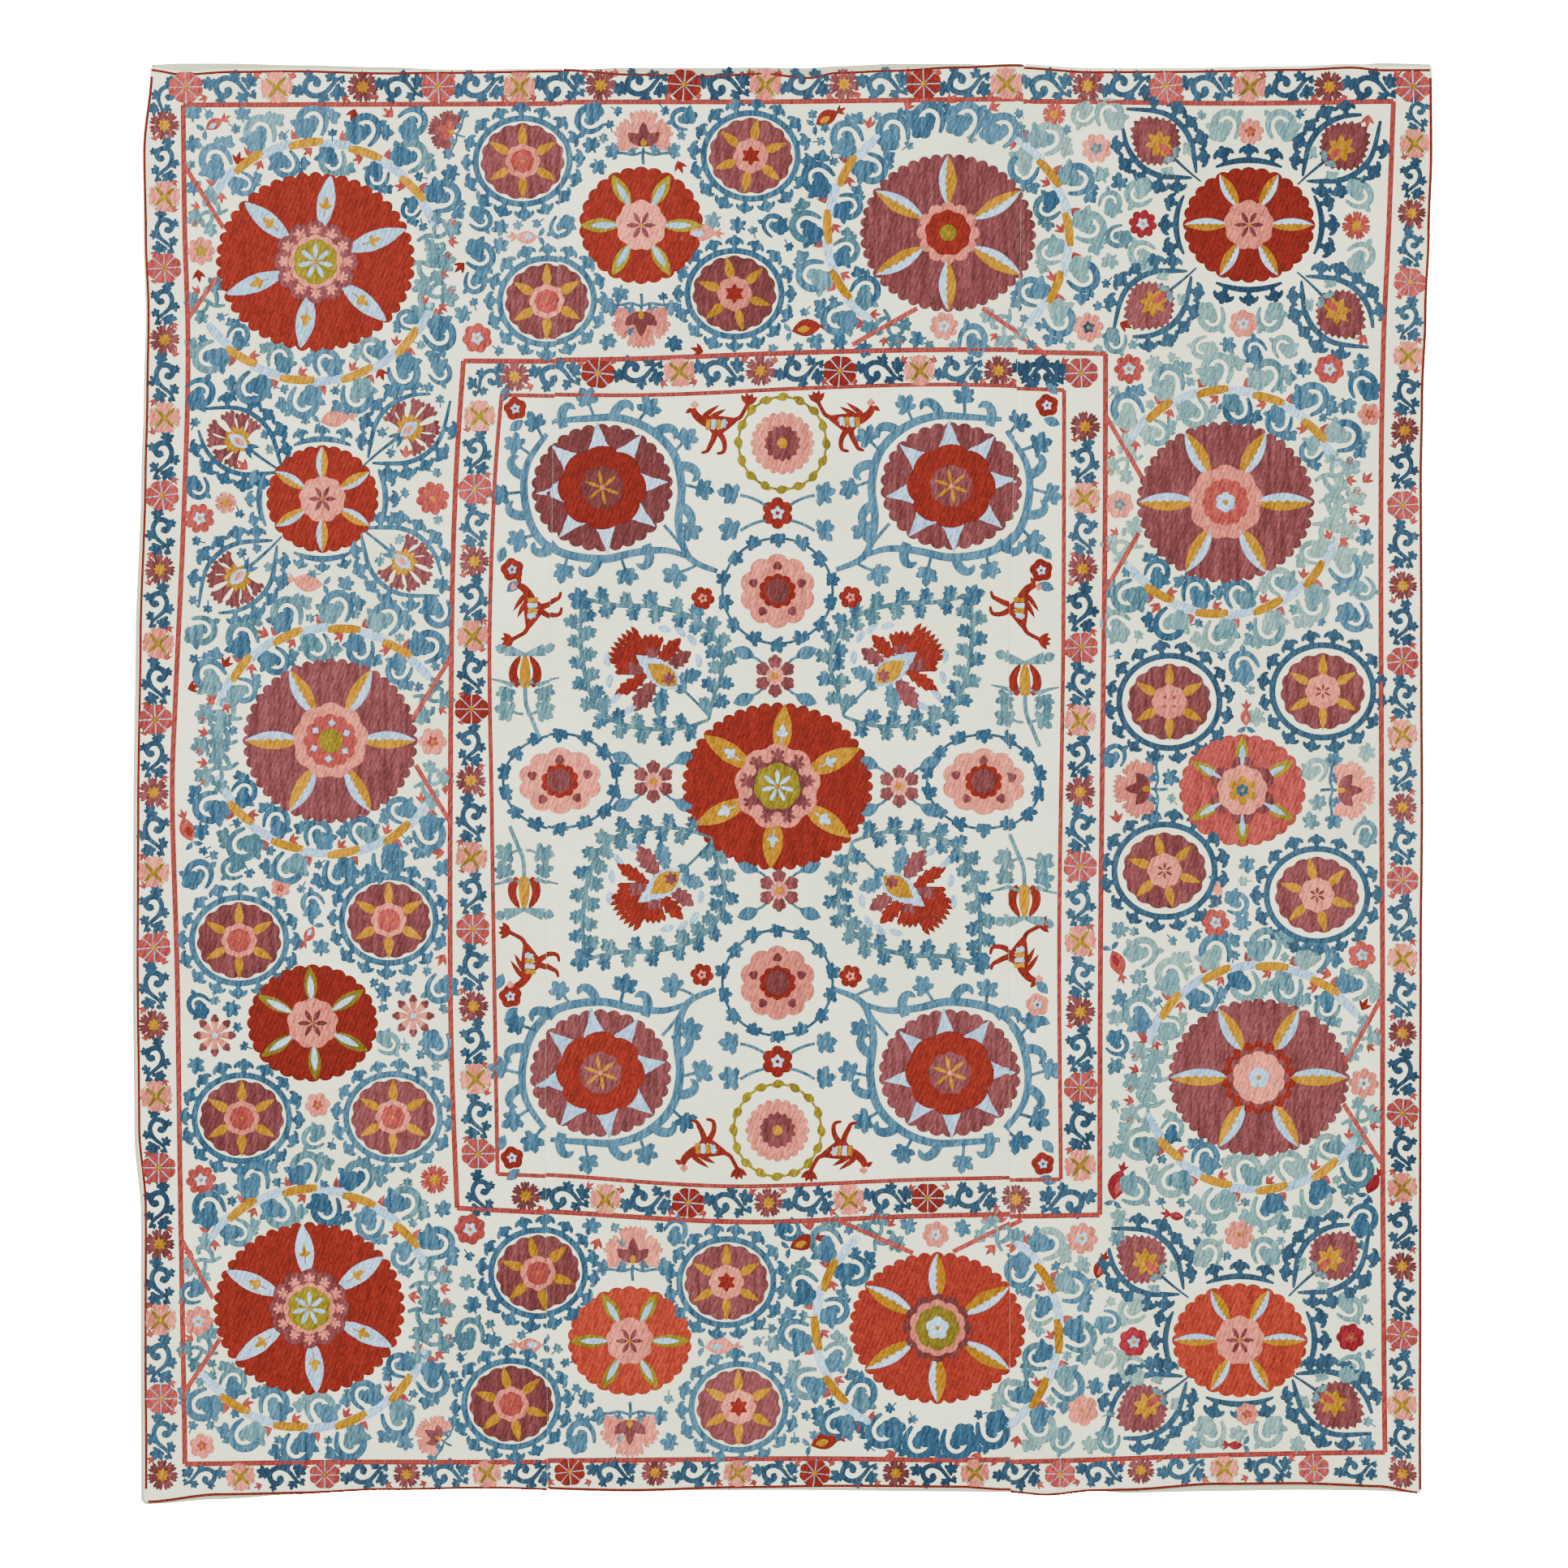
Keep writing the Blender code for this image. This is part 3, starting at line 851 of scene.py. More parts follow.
def dashed_ring(m, pen):
    """Two arcs of dashes round a great medallion, with leaves along them and sprays where they part."""
    sideways = abs(m.gap) != 90
    arc, second_gap, count, rows = (127, 38, 9, 6) if sideways else (104, 70, 7, 5)
    gap = 360 - 2 * arc - second_gap
    wide, high = m.ring * 1.02, m.ring * 0.98
    thread = "sage" if m.x > 1300 else "teal"
    for first in (m.gap + gap / 2, m.gap + gap / 2 + arc + second_gap):
        dashes(pen, wide, high, first, arc, count)
        ring_leaves(m, pen, wide, high, first, arc, rows)
    if sideways:
        for turn in (-14, 1, 15):
            far = random.uniform(-6, 10)
            spray(pen.out(m.gap + 180 + turn, wide + far, high + far), thread)
    else:
        for turn in (-27, -9, 9, 27):
            leaf = pen.out(m.gap + 180 + turn, wide - 2, high - 2, 1.05)
            comma(leaf, leaf_thread(m.x))
            tulip(leaf.at(-24, 18, -40), "coral", 0.9)
    for turn in (12 - gap / 2, gap / 2 - 12):
        spray(pen.out(m.gap + turn, wide - 4, high - 4, 0.9).at(0, 0, -turn * 1.5), thread)


def crocket(pen, thread, tone):
    """A lobed cap on a short broad neck, which stands on a ring."""
    pen.line(thread, (0, -2), (0, 8), 2.8, ridge=False, tone=tone)
    pen.at(0, 9.5).round(thread, 6.4, scallop(5, 0.3), sides=20, tone=tone, wide=1.15)
    drop = through([(2, 8), (7, 9), (9.5, 5)], 5)
    for half in pen.halves():
        half.ribbon(thread, drop, swell(3.0, 3.0, 0.8), ridge=False, tone=tone)


def crocket_ring(pen, wide, high, count, thread, start, span, thick, size):
    """A ring, or a part of one, with crockets standing on it."""
    tone = pen.tone()
    pen.ribbon(thread, oval(wide, high, max(8, int(span / 7)), start, span), thick, tone=tone)
    for k in range(count):
        a = start + span * (k + 0.5) / count
        crocket(pen.out(a, wide + 2, high + 2, size * random.uniform(0.92, 1.08)), thread, tone)


# The small ringed medallions: place and heart
SMALL_MEDALLIONS = (
    (644, 197, "coral"), (674, 370, "coral"), (925, 192, "star"), (905, 362, "star"), (295, 1157, "coral"),
    (479, 1132, "coral"), (298, 1376, "coral"), (484, 1375, "coral"), (663, 1567, "coral"),
    (630, 1728, "coral"), (895, 1580, "star"), (910, 1734, "star"), (1441, 862, "dots"),
    (1630, 849, "plum star"), (1435, 1070, "plum star"), (1623, 1100, "plum star"),
)


def small_medallion(x, y, kind):
    """A plum medallion of six gold petals, in a ring of crockets."""
    pen = Pen(x, y)
    pen.round("plum", 47.5, scallop(15, 0.085), sides=90, wide=1.1)
    for petal in pen.turns(6, random.choice((0, 0, 12, -10))):
        petal.petal("gold", 16, 48, 13.5, count=9, peak=0.36, full=1.5)
    pen.round("pink", 22, scallop(8, 0.14), sides=40, level=2)
    if kind == "coral":
        pen.round("coral", 15.5, scallop(8, 0.12), sides=40, level=3)
        pen.round("gold", 2.4, sides=6, level=4)
    elif kind == "star":
        pen.round("red", 13, star(6, 0.5), sides=24, level=3)
    elif kind == "plum star":
        for ray in pen.turns(6):
            ray.petal("plum", 1, 11, 4, level=3, count=5)
    else:
        for dot in pen.turns(4, 45):
            dot.petal("coral", 5, 11, 4.5, level=3, count=4)
    thread, wide = ("navy", 62) if x > 1255 else ("blue", 58)
    crocket_ring(pen, wide, wide - 5, 16, thread, random.uniform(0, 20), 360, 3.8, 1.14)


def palmette(pen):
    """A carnation seen from the side: a fan of toothed petals over a gold body."""
    for turn, end in ((2, 46), (32, 43), (-29, 43), (63, 38), (-60, 38), (96, 34), (-94, 34)):
        petal = pen.at(0, -7, turn + random.uniform(-4, 4))
        petal.toothed("plum", 8, end - 5, 7, 18, bite=0.3, belly=0.2)
    pen.at(0, -1).round("gold", 17, star(9, 0.3), sides=36, level=1, wide=1.1)
    pen.petal("pale", -17, 11, 17, level=2)
    pen.petal("pink", -13, 4, 9, level=3)


def shield(pen):
    """A plum flower of one toothed mass, pointed outwards, with a gold star and a coral heart in it."""
    outline = lambda a: star(23, 0.13)(a) * (1 + 0.2 * max(math.sin(a), 0.0) ** 3 + 0.05 * math.cos(4 * a))
    pen.round("plum", 31.5, outline, sides=92)
    pen.at(0, -4).round("gold", 20, star(7, 0.52), sides=28, level=1, wide=0.88)
    pen.at(0, -15).petal("coral", -8, 13, 11, level=2, count=6)
    for half in pen.halves():
        fan_leaf(half.at(16, -30, -140), "sage", 0.62, 0.0)
        half.at(0, -30, -62).petal("teal", 0, 17, 9, lean=0.2, count=6, tone=0.3)


def almond(pen, thread, size):
    """A leafy frame that runs from a medallion round the flower at the pen, to a point."""
    tone = pen.tone() - (0.4 if thread == "blue" else 0)
    pen = pen.at(0, 0, 0, size)
    heavy = 1.5 if thread == "navy" else 1.15
    for half, tip in zip(pen.halves(), ((17, 46), (5, 60))):
        arm = through([(4, -66), (16, -52), (32, -30), (38, -4), (32, 24), tip], 20)
        half.ribbon(thread, arm, swell(1.4, 3.6 * heavy, 1.4 * heavy), tone=tone)
        for k in range(5):
            (x, y), (nx, ny) = arm[4 + 3 * k], arm[min(5 + 3 * k, 19)]
            turn = math.degrees(math.atan2(ny - y, nx - x)) + 180
            crocket(half.at(x, y, turn, (1.14 + 0.14 * (k % 2)) * heavy**0.35).at(0, 1), thread, tone)
        half.at(0, -20, -40).leaflet(thread, -14, 12, 7, count=6, lean=0.2, tone=tone)
    pen.ribbon(thread, bend((0, -78), (0, -18), 0.04, 6), horn(1.3, 2.6), tone=tone)


# The medallions with leafy frames round them: the inner ring, the frames' thread, the sizes of the frames and
# of the ring's crockets, and the places of the flowers
Framed = namedtuple("Framed", "x y wide high thread size crocket flower places")
FRAMED = (
    Framed(397, 613, 78, 74, "blue", 0.98, 1.0, palmette, ((291, 540), (506, 525), (291, 711), (498, 692))),
    Framed(1539, 274, 90, 80, "navy", 0.93, 1.25, shield,
           ((1426, 172), (1655, 178), (1418, 373), (1650, 383))),
    Framed(1528, 1649, 92, 79, "navy", 0.93, 1.25, shield,
           ((1409, 1550), (1642, 1546), (1410, 1732), (1646, 1728))),
)
# Light curled leaves on both sides of the small flowers by the almond frames: place, turn, size and side
CURLS = (
    (1512, 152, 0, 0.95, 1), (1578, 152, 0, 0.95, -1), (1404, 236, 100, 0.85, -1), (1408, 310, 80, 0.85, 1),
    (1674, 238, -100, 0.85, 1), (1676, 312, -80, 0.85, -1), (1494, 388, 170, 0.85, -1),
    (1564, 388, -170, 0.85, 1), (1494, 1762, 170, 0.9, -1), (1562, 1762, -170, 0.9, 1),
    (1490, 1542, 0, 0.85, 1), (1558, 1540, 0, 0.85, -1), (1396, 1612, 100, 0.85, -1),
    (1396, 1684, 80, 0.85, 1), (1662, 1610, -100, 0.8, 1), (1664, 1682, -80, 0.8, -1),
)


def draw_almonds():
    for m in FRAMED:
        for x, y in m.places:
            pen = Pen(x, y, math.degrees(math.atan2(m.y - y, x - m.x)) - 90)
            almond(pen, m.thread, m.size)
            m.flower(pen)
    for m in FRAMED:
        for start in (63, 153, 243, -27):
            pen = Pen(m.x, m.y)
            crocket_ring(pen, m.wide, m.high, 3, m.thread, start, 54, swell(1.6, 5.0, 1.6), m.crocket)
    for place in CURLS:
        comma(Pen(*place), "sage", tip=False)


# The coral spokes from the borders to the great medallions
SPOKES = (
    ((228, 203), (276, 280)), ((267, 341), (232, 391)), ((556, 807), (508, 885)), ((512, 941), (557, 1015)),
    ((223, 1523), (263, 1598)), ((272, 1647), (226, 1716)), ((1050, 425), (1130, 380)),
    ((1210, 380), (1290, 435)), ((1363, 511), (1407, 586)), ((1403, 654), (1361, 726)),
    ((1701, 1228), (1657, 1307)), ((1655, 1357), (1701, 1429)), ((1033, 1504), (1125, 1544)),
    ((1174, 1542), (1259, 1500)),
)
# Single flowers. Those with a gold heart are carnations
Flower = namedtuple("Flower", "x y radius outer inner")
FLOWERS_ALONE = [Flower(*row) for row in (
    (248, 308, 17, "pink", "olive"), (533, 912, 17, "pink", "coral"), (245, 1626, 18, "pink", "pale"),
    (1163, 402, 17, "pink", "pale"), (1379, 619, 17, "pink", "blue"), (1680, 1332, 18, "pink", "pale"),
    (1153, 1521, 16, "pink", "pale"), (588, 415, 18, "coral", "pale"), (246, 637, 18, "coral", "pale"),
    (278, 618, 13, "pink", "gold"), (533, 612, 20, "coral", "coral"), (248, 1452, 18, "coral", "pale"),
    (579, 1513, 19, "coral", "pale"), (535, 1452, 17, "coral", "gold"), (346, 1092, 12, "pink", "coral"),
    (391, 1360, 15, "pink", "coral"), (1299, 138, 14, "coral", "gold"), (1351, 180, 18, "pink", "blue"),
    (1541, 159, 16, "pink", "coral"), (1408, 273, 17, "crimson", "pale"), (1671, 275, 17, "coral", "gold"),
    (1341, 401, 18, "pink", "navy"), (1532, 396, 17, "pink", "pale"), (1391, 452, 18, "coral", "pale"),
    (1638, 452, 18, "coral", "pale"), (1687, 508, 14, "pink", "coral"), (1498, 1134, 17, "coral", "pale"),
    (1678, 1174, 17, "coral", "pale"), (1333, 1523, 19, "pink", "pale"), (1527, 1519, 18, "pink", "pink"),
    (1397, 1651, 18, "crimson", "pale"), (1664, 1645, 17, "crimson", "coral"),
    (1334, 1735, 19, "pink", "pink"), (250, 1779, 15, "pink", "coral"), (1537, 1740, 14, "pink", "coral"),
)]
PINWHEELS = ((265, 1274), (509, 1250))
# Carnations seen from the side: place, turn, size and colour
SIDE_CARNATIONS = (
    (793, 165, 0, 1.0, "pink"), (790, 400, 180, 1.0, "pink"), (780, 1540, 0, 1.0, "pink"),
    (776, 1765, 180, 1.0, "pink"), (1401, 969, 90, 1.0, "pink"), (1665, 971, -90, 1.0, "pink"),
    (533, 1766, 60, 0.72, "pink"), (548, 158, 70, 0.7, "plum"),
)
# Leaning buds: place, turn, length and the two colours
BUDS = (
    (232, 1019, 20, 34, "coral", "red"), (1376, 1185, -160, 36, "coral", "crimson"),
    (1020, 145, -60, 34, "red", "gold"), (995, 405, -80, 40, "red", "gold"),
    (991, 1532, -70, 38, "red", "gold"), (1018, 1777, -75, 40, "red", "gold"),
    (265, 152, -60, 26, "coral", "pale"), (414, 515, -80, 40, "pink", "pink"),
    (378, 715, 80, 40, "pink", "pink"), (648, 290, 90, 30, "pink", "pale"),
    (865, 288, -90, 40, "pink", "pale"), (652, 1655, 90, 34, "pink", "pale"),
    (888, 1660, -90, 40, "pink", "pale"), (1500, 1095, 180, 22, "pink", "pink"),
    (1536, 880, 0, 24, "coral", "pink"), (380, 1150, 150, 24, "coral", "pale"),
    (1378, 1456, -15, 42, "crimson", "coral"), (1449, 1495, 80, 20, "crimson", "coral"),
    (1522, 1778, 90, 20, "crimson", "crimson"), (1356, 1560, -20, 28, "red", "coral"),
    (1692, 1455, -30, 30, "crimson", "crimson"),
)


def pinwheel(pen):
    """Eight narrow pink petals with plum tips round a pale star."""
    for petal in pen.turns(8):
        petal.ribbon("pink", [(0, 3), (0, 11), (0, 20)], horn(1.5, 5.5))
        petal.at(0, 21).round("plum", 5.5, scallop(3, 0.3), sides=12, level=1)
    pen.round("pale", 5, star(6, 0.4), sides=12, level=1)


def side_carnation(pen, outer):
    """A carnation seen from the side on a short stalk, with two leaves at each side."""
    pen.at(0, -14).toothed(outer, 6, 38, 10, 34, bite=0.2, teeth=6)
    for turn, end, wide, teeth in ((52, 36, 25, 4), (-52, 36, 25, 4), (88, 31, 17, 3), (-88, 31, 17, 3)):
        pen.at(0, -14, turn).toothed(outer, 6, end, 10, wide, bite=0.2, teeth=teeth)
    for turn, end in ((0, 32), (48, 27), (-48, 27)):
        pen.at(0, -16, turn).petal("plum" if outer == "pink" else "coral", 0, end, 15)
    pen.at(0, -16).petal("gold", -2, 11, 9, level=2, count=5)
    branch = through([(0, -22), (12, -26), (24, -24), (34, -24)], 8)
    for half in pen.halves():
        fan_leaf(half.at(9, -18, -72), "blue", 0.62, 0.2)
        half.ribbon("blue", branch, swell(1.4, 2.2, 1.6), tone=0.2)
        fan_leaf(half.at(32, -24, -60), "blue", 0.78, 0.2)
    pen.ribbon("blue", bend((0, -38), (0, -18), 0.1, 5), 2.0, tone=0.2)


def leaning_bud(pen, length, outer, inner):
    """A bud with a small heart of another colour, three points at its tip and two leaves at its foot."""
    pen.petal(outer, -length * 0.5, length * 0.45, length * 0.55, level=0, lean=0.08)
    pen.petal(inner, -length * 0.35, length * 0.1, length * 0.26, count=6)
    tulip(pen.at(0, length * 0.42), outer, 0.8)
    for turn, lean in ((-120, -0.2), (120, 0.2)):
        pen.at(0, -length * 0.5, turn).leaflet("blue", 0, 14, 7, count=4, lean=lean)


def draw_single_flowers():
    for a, b in SPOKES:
        chain("coral", bend(a, b, 0.0, 3), 2.9, 0.3, level=1)
    for f in FLOWERS_ALONE:
        pen = Pen(f.x, f.y, random.uniform(0, 60))
        if f.inner == "gold":
            carnation(pen.at(0, 0, 0, f.radius / 19), f.outer)
        else:
            blossom(pen, f.outer, f.inner, f.radius, random.choice((6, 7, 8)))
    for place in PINWHEELS:
        pinwheel(Pen(*place))
    for x, y, turn, size, outer in SIDE_CARNATIONS:
        side_carnation(Pen(x, y, turn, size), outer)
    for x, y, turn, length, outer, inner in BUDS:
        leaning_bud(Pen(x, y, turn), length, outer, inner)


def beaded_rosette(pen):
    """A pink flower in a ring of olive beads."""
    pen.ribbon("olive", oval(54, 57, 48), 1.5, ridge=False)
    for k in range(16):
        bead = pen.out(22.5 * k, 54, 57).at(0, 0, 90 + 15 * (-1) ** k)
        bead.petal("olive", -8.5, 8.5, 11, level=0, count=6, peak=0.4)
    pen.round("pink", 39, scallop(20, 0.1), sides=80, wide=1.02)
    pen.round("plum", 23.5, star(14, 0.16), sides=56, level=1)
    pen.round("gold", 7, sides=12, level=2)


def leafy_rosette(pen, wide, high, ring_wide, ring_high):
    """A pink flower with five plum hearts, in a ring of small lobed leaves strung on a thin stem."""
    pen.ribbon("blue", oval(ring_wide, ring_high, 48), 1.8, ridge=False, tone=-0.6)
    for k in range(14):
        leaf = pen.out(360 * (k + 0.5) / 14, ring_wide, ring_high)
        leaf = leaf.at(0, 0, 180 * (k % 2) + random.uniform(-25, 25))
        fan_leaf(leaf.at(0, -5), "blue", 0.74, -0.9 + 0.3 * (k % 3))
    pen.round("pink", high, scallop(10, 0.12), sides=60, wide=wide / high)
    pen.round("red", 22, scallop(10, 0.14), sides=60, level=1, wide=1.08)
    pen.round("plum", 16, scallop(8, 0.1), sides=32, level=2)
    for k in range(5):
        spot = pen.out(72 * k + 18, wide - 12, high - 11).at(0, -4)
        spot.round("plum", 6.5, scallop(3, 0.35), sides=18, level=1)


# The vine round a corner medallion, for the one at the upper left: two arms that part from a stem, and
# the turns at which its leaves and its hooks stand
VINE_ARMS = (
    ((142, -103), (107, -86), (94, -45), (98, 0), (88, 42), (58, 72), (20, 86), (-20, 85), (-62, 82)),
    ((107, -86), (78, -77), (40, -80), (0, -88), (-50, -80), (-82, -55), (-96, -10), (-92, 32), (-68, 68)),
)
VINE_LEAVES = (-28, 0, 32, 63, 98, 133, 150, 183, 215, 247, 284)
VINE_HOOKS = (-17, 15, 47, 80, 117, 167, 199, 231, 265, 302)


def vine_medallion(x, y, across, turn):
    """A corner medallion of the field in its ring of light blue vine."""
    pen = Pen(x, y)
    pen.round("plum", 79, scallop(30, 0.055), sides=150, wide=1.11)
    for k in range(8):
        ray = pen.at(0, 0, 45 * k + 6 + random.uniform(-5, 5))
        ray.ribbon("pale", [(0, 46), (0, 62), (0, 81)], horn(16, 0.5), level=1)
    pen.round("red", 52, scallop(8, 0.09), sides=80, level=2, wide=1.06)
    pen.round("plum", 27, scallop(9, 0.12), sides=54, level=3)
    for ray in pen.turns(6, 10):
        ray.petal("gold", 1, 23, 5.5, level=4, count=6)
    pen.round("pink", 3.5, sides=8, level=5)
    ring, tone = Pen(x, y, turn, 1.0, across), 0.45
    for arm, foot in zip(VINE_ARMS, (3.0, 2.6)):
        ring.ribbon("blue", through(arm, 34), swell(foot, 6.6, 3.0), tone=tone)
    ring.ribbon("blue", bend((76, -46), (107, -86), 0.05, 5), 2.2, tone=tone)
    ring.ribbon("blue", bend((120, -92), (96, -104), 0.1, 4), 2.0, tone=tone)
    fan_leaf(ring.at(96, -104, 125), "blue", 1.05, tone)
    for a in VINE_LEAVES:
        leaf = ring.out(a, 117, 104).at(0, 0, random.uniform(-20, 20))
        fan_leaf(leaf, "blue", random.uniform(0.95, 1.1), tone + random.uniform(-0.9, 0.2), 17)
    for a in VINE_HOOKS:
        hook(ring.out(a, 99, 88, 1.05), tone + random.uniform(-0.4, 0.2))


def beast(pen):
    """A small red beast with a comb, two raised feathers, a striped flank and a branching tail."""
    for points, widths in BEAST_LIMBS:
        pen.ribbon("red", through(points, 12), swell(*widths), tone=0)
    for x, y, turn, length in ((-20, 8, -55, 27), (-11, 7, -62, 24), (-34, 17, 125, 8)):
        pen.at(x, y, turn).leaflet("red", -3, length, 6.5, peak=0.35, tone=0)
    for turn in (38, 8, -22, -52):
        pen.at(37, 24, turn).leaflet("red", -3, 15, 7, tone=0)
    pen.at(-29, 23).round("pink", 5, scallop(4, 0.3), sides=16)
    for k, thread in enumerate(("gold", "pale", "gold", "pale")):
        pen.at(-13 + 6.5 * k, -1).line(thread, (0, -7 + k), (1, 6), 3.0, level=1)


# The limbs of a small beast: the points that each runs through, and its half widths
BEAST_LIMBS = (
    ([(-31, 19), (-28, 11), (-19, 3), (-10, -2), (-3, -12)], (3.0, 6.0, 4.0)),
    ([(-22, 7), (-10, 7), (6, 6), (19, 4)], (2.6, 3.2, 3.6)),
    ([(20, 4), (12, -3), (4, -10)], (3.6, 3.4, 2.4)),
    ([(19, 4), (27, 8), (32, 16), (37, 26)], (3.4, 2.4, 2.6)),
    ([(-3, -8), (-6, -19), (-11, -29), (-14, -34), (-21, -36)], (4.6, 3.0, 1.4)),
    ([(-1, -8), (6, -19), (8, -28), (6, -35), (-2, -37)], (4.4, 3.0, 1.4)),
)
# What stands in the field: places with a turn, a mirroring, or both


BEASTS = (
    (885, 522, 0, 1), (1044, 519, 0, -1), (655, 750, 90, -1), (1257, 749, -90, 1), (652, 1183, 90, 1),
    (1257, 1174, -90, -1), (872, 1416, 180, -1), (1035, 1419, 180, 1),
)
VINE_MEDALLIONS = ((742, 601, 1, 0), (1172, 599, -1, 0), (740, 1322, -1, 180), (1170, 1322, 1, 180))
LEAFY_ROSETTES = (
    (958, 728, 47, 46, 68, 65), (958, 1211, 47, 46, 68, 65), (690, 962, 52, 41, 70, 58),
    (1212, 963, 52, 41, 70, 58),
)
RED_BLOSSOMS = ((866, 737), (1048, 736), (865, 1201), (1048, 1203))
LEAFY_PINWHEELS = ((955, 833), (960, 1097), (805, 963), (1108, 969))
CORNER_BLOSSOMS = (
    (635, 502, "red"), (1290, 497, "red"), (631, 700, "red"), (1283, 700, "red"), (629, 1226, "red"),
    (1278, 1235, "pink"), (631, 1425, "red"), (1285, 1431, "red"),
)
FIELD_TULIPS = ((647, 826, 0), (1263, 835, 0), (646, 1098, 180), (1262, 1107, 180))
LEAFY_PALMETTES = ((797, 826, 1, 0), (1116, 822, -1, 0), (800, 1093, -1, 180), (1126, 1098, 1, 180))


def field_tulip(pen):
    """A tulip on a bent stem, with leaves under it, over it and at its foot."""
    pen.ribbon("teal", through([(0, -16), (1, -40), (9, -60), (18, -82)], 9), 2.6, tone=0.2)
    pen.at(0, -18).ribbon("teal", bend((-20, 2), (20, 2), 0.16, 7), swell(2.0, 4.4, 2.0), tone=0.2)
    for half in pen.halves():
        half.ribbon("red", through([(7, -17), (14, -9), (14, 5), (6, 19)], 9), swell(4.0, 7.0, 1.2))
        half.ribbon("teal", through([(15, -17), (28, -12), (42, -9)], 6), horn(3.2, 1.0), tone=0.3)
        fan_leaf(half.at(22, -20, -160), "teal", 0.9, -0.2)
        half.ribbon("teal", through([(0, 21), (12, 24), (24, 27)], 6), horn(2.0, 8.0), tone=0.5)
        half.at(26, 27, -70).leaflet("teal", -4, 12, 13, tone=0.2)
        half.ribbon("teal", bend((2, -52), (16, -48), -0.2, 4), 1.8, tone=0.2)
        fan_leaf(half.at(16, -50, -75), "teal", 1.0, 0.2)
    pen.ribbon("gold", bend((0, -19), (0, 20), 0.0, 9), swell(5.5, 8.0, 1.5), level=1)


# The frame of a field carnation, for the one at the upper left: its two arms, from the middle outwards
FRAME_ARMS = (
    ((76, -61), (82, -34), (93, 0), (89, 30), (72, 54), (45, 70), (3, 79), (-36, 80), (-80, 89)),
    ((76, -61), (40, -72), (2, -72), (-34, -65), (-60, -46), (-73, -17), (-80, 18), (-82, 52), (-80, 80)),
)
# Its toothed petals: thread, start, end, width at both ends, teeth and level
WEDGES = (
    ("red", (4, 4), (-29, 30), 20, 50, 8, 0),
    ("red", (2, 2), (-35, 5), 12, 21, 3, 0),
    ("red", (5, 14), (8, 39), 12, 25, 4, 0),
    ("plum", (4, 8), (7, 25), 8, 17, 3, 1),
    ("plum", (4, 2), (-22, 3), 8, 17, 3, 1),
)
# Its saw-edged petals and leaves: thread, start, end and width
FLAMES = (
    ("red", (10, 6), (42, 40), 24), ("plum", (22, 0), (55, 23), 25),
    ("red", (4, -2), (-40, -30), 22), ("plum", (14, -10), (-16, -51), 30),
    ("blue", (34, -14), (68, -2), 24), ("blue", (22, -18), (12, -56), 25),
)
# The pale dashes round it: place and turn
HALO = (
    (-45, -13, 80), (-48, 13, 95), (-38, -35, 50), (-20, -49, 30), (22, 50, -15), (41, 47, -45),
    (55, 37, -55), (63, 12, -85),
)


def frame_arm(pen, arm):
    """One arm of a carnation's frame, with pairs of leaves on short hooks along it and a leaf at its end."""
    path = through(arm, 34)
    pen.ribbon("teal", path, swell(2.0, 3.4, 2.4), tone=-0.4)
    for k in range(3, 32, 3):
        (px, py), (nx, ny) = path[k], path[min(k + 1, 33)]
        along = math.degrees(math.atan2(ny - py, nx - px))
        for turn, mirror, shift in ((0, 1, -4), (180, -1, 5)):
            thread = random.choice(("blue", "teal"))
            at = pen.at(px, py, along + turn, random.uniform(0.92, 1.08), mirror).at(shift, 0)
            at.ribbon(thread, [(-6, -1), (-3, 5), (2, 9)], swell(3.4, 3.0, 2.2), ridge=False, tone=-0.3)
            fan_leaf(at.at(1, 6, random.uniform(-35, -10)), thread, 0.64, -0.3)
            at.at(3, 2, -68).leaflet("teal", -4, 11, 6, lean=0.3, tone=-0.3)
    (px, py), (qx, qy) = path[-1], path[-2]
    end = pen.at(px, py, math.degrees(math.atan2(py - qy, px - qx)) - 90)
    fan_leaf(end.at(0, -4), "blue", 0.95, -0.4)


def leafy_palmette(x, y, across, turn):
    """A great red carnation that opens outwards from the middle, in a frame of leafy stems."""
    pen = Pen(x, y, turn, 1.0, across)
    for thread, a, b, wide in FLAMES:
        path = bend(a, b, random.uniform(-0.05, 0.05), 26)
        pen.ribbon(thread, path, serrated(blade(wide / 2, 0.6), 5, 0.4))
    for thread, (ax, ay), (bx, by), narrow, wide, teeth, level in WEDGES:
        petal = pen.at(ax, ay, math.degrees(math.atan2(by - ay, bx - ax)) - 90)
        petal.toothed(thread, 0, math.hypot(bx - ax, by - ay), narrow, wide, level, bite=0.27, teeth=teeth)
    for sx, sy, aim in HALO:
        pen.at(sx, sy, aim).ribbon("pale", bend((-8, 0), (8, 0), 0.14, 6), swell(1.4, 5.4, 1.4), tone=0.6)
    body = pen.at(40, -20, 54)
    body.ribbon("pale", bend((0, -3), (0, 66), 0.0, 26), serrated(blade(17, 0.4), 8, 0.2), level=2)
    body.petal("gold", 2, 49, 25, level=3, count=14, peak=0.45)
    body.at(0, 16).round("plum", 9, star(6, 0.45), sides=24, level=4)
    for aim in (-35, 0, 35):
        body.at(0, -10, aim).leaflet("blue", 0, 14, 7, 4, tone=0.1)
    pen.ribbon("blue", bend((46, -25), (78, -58), 0.03, 5), 1.8, tone=0.1)
    for arm in FRAME_ARMS:
        frame_arm(pen, arm)


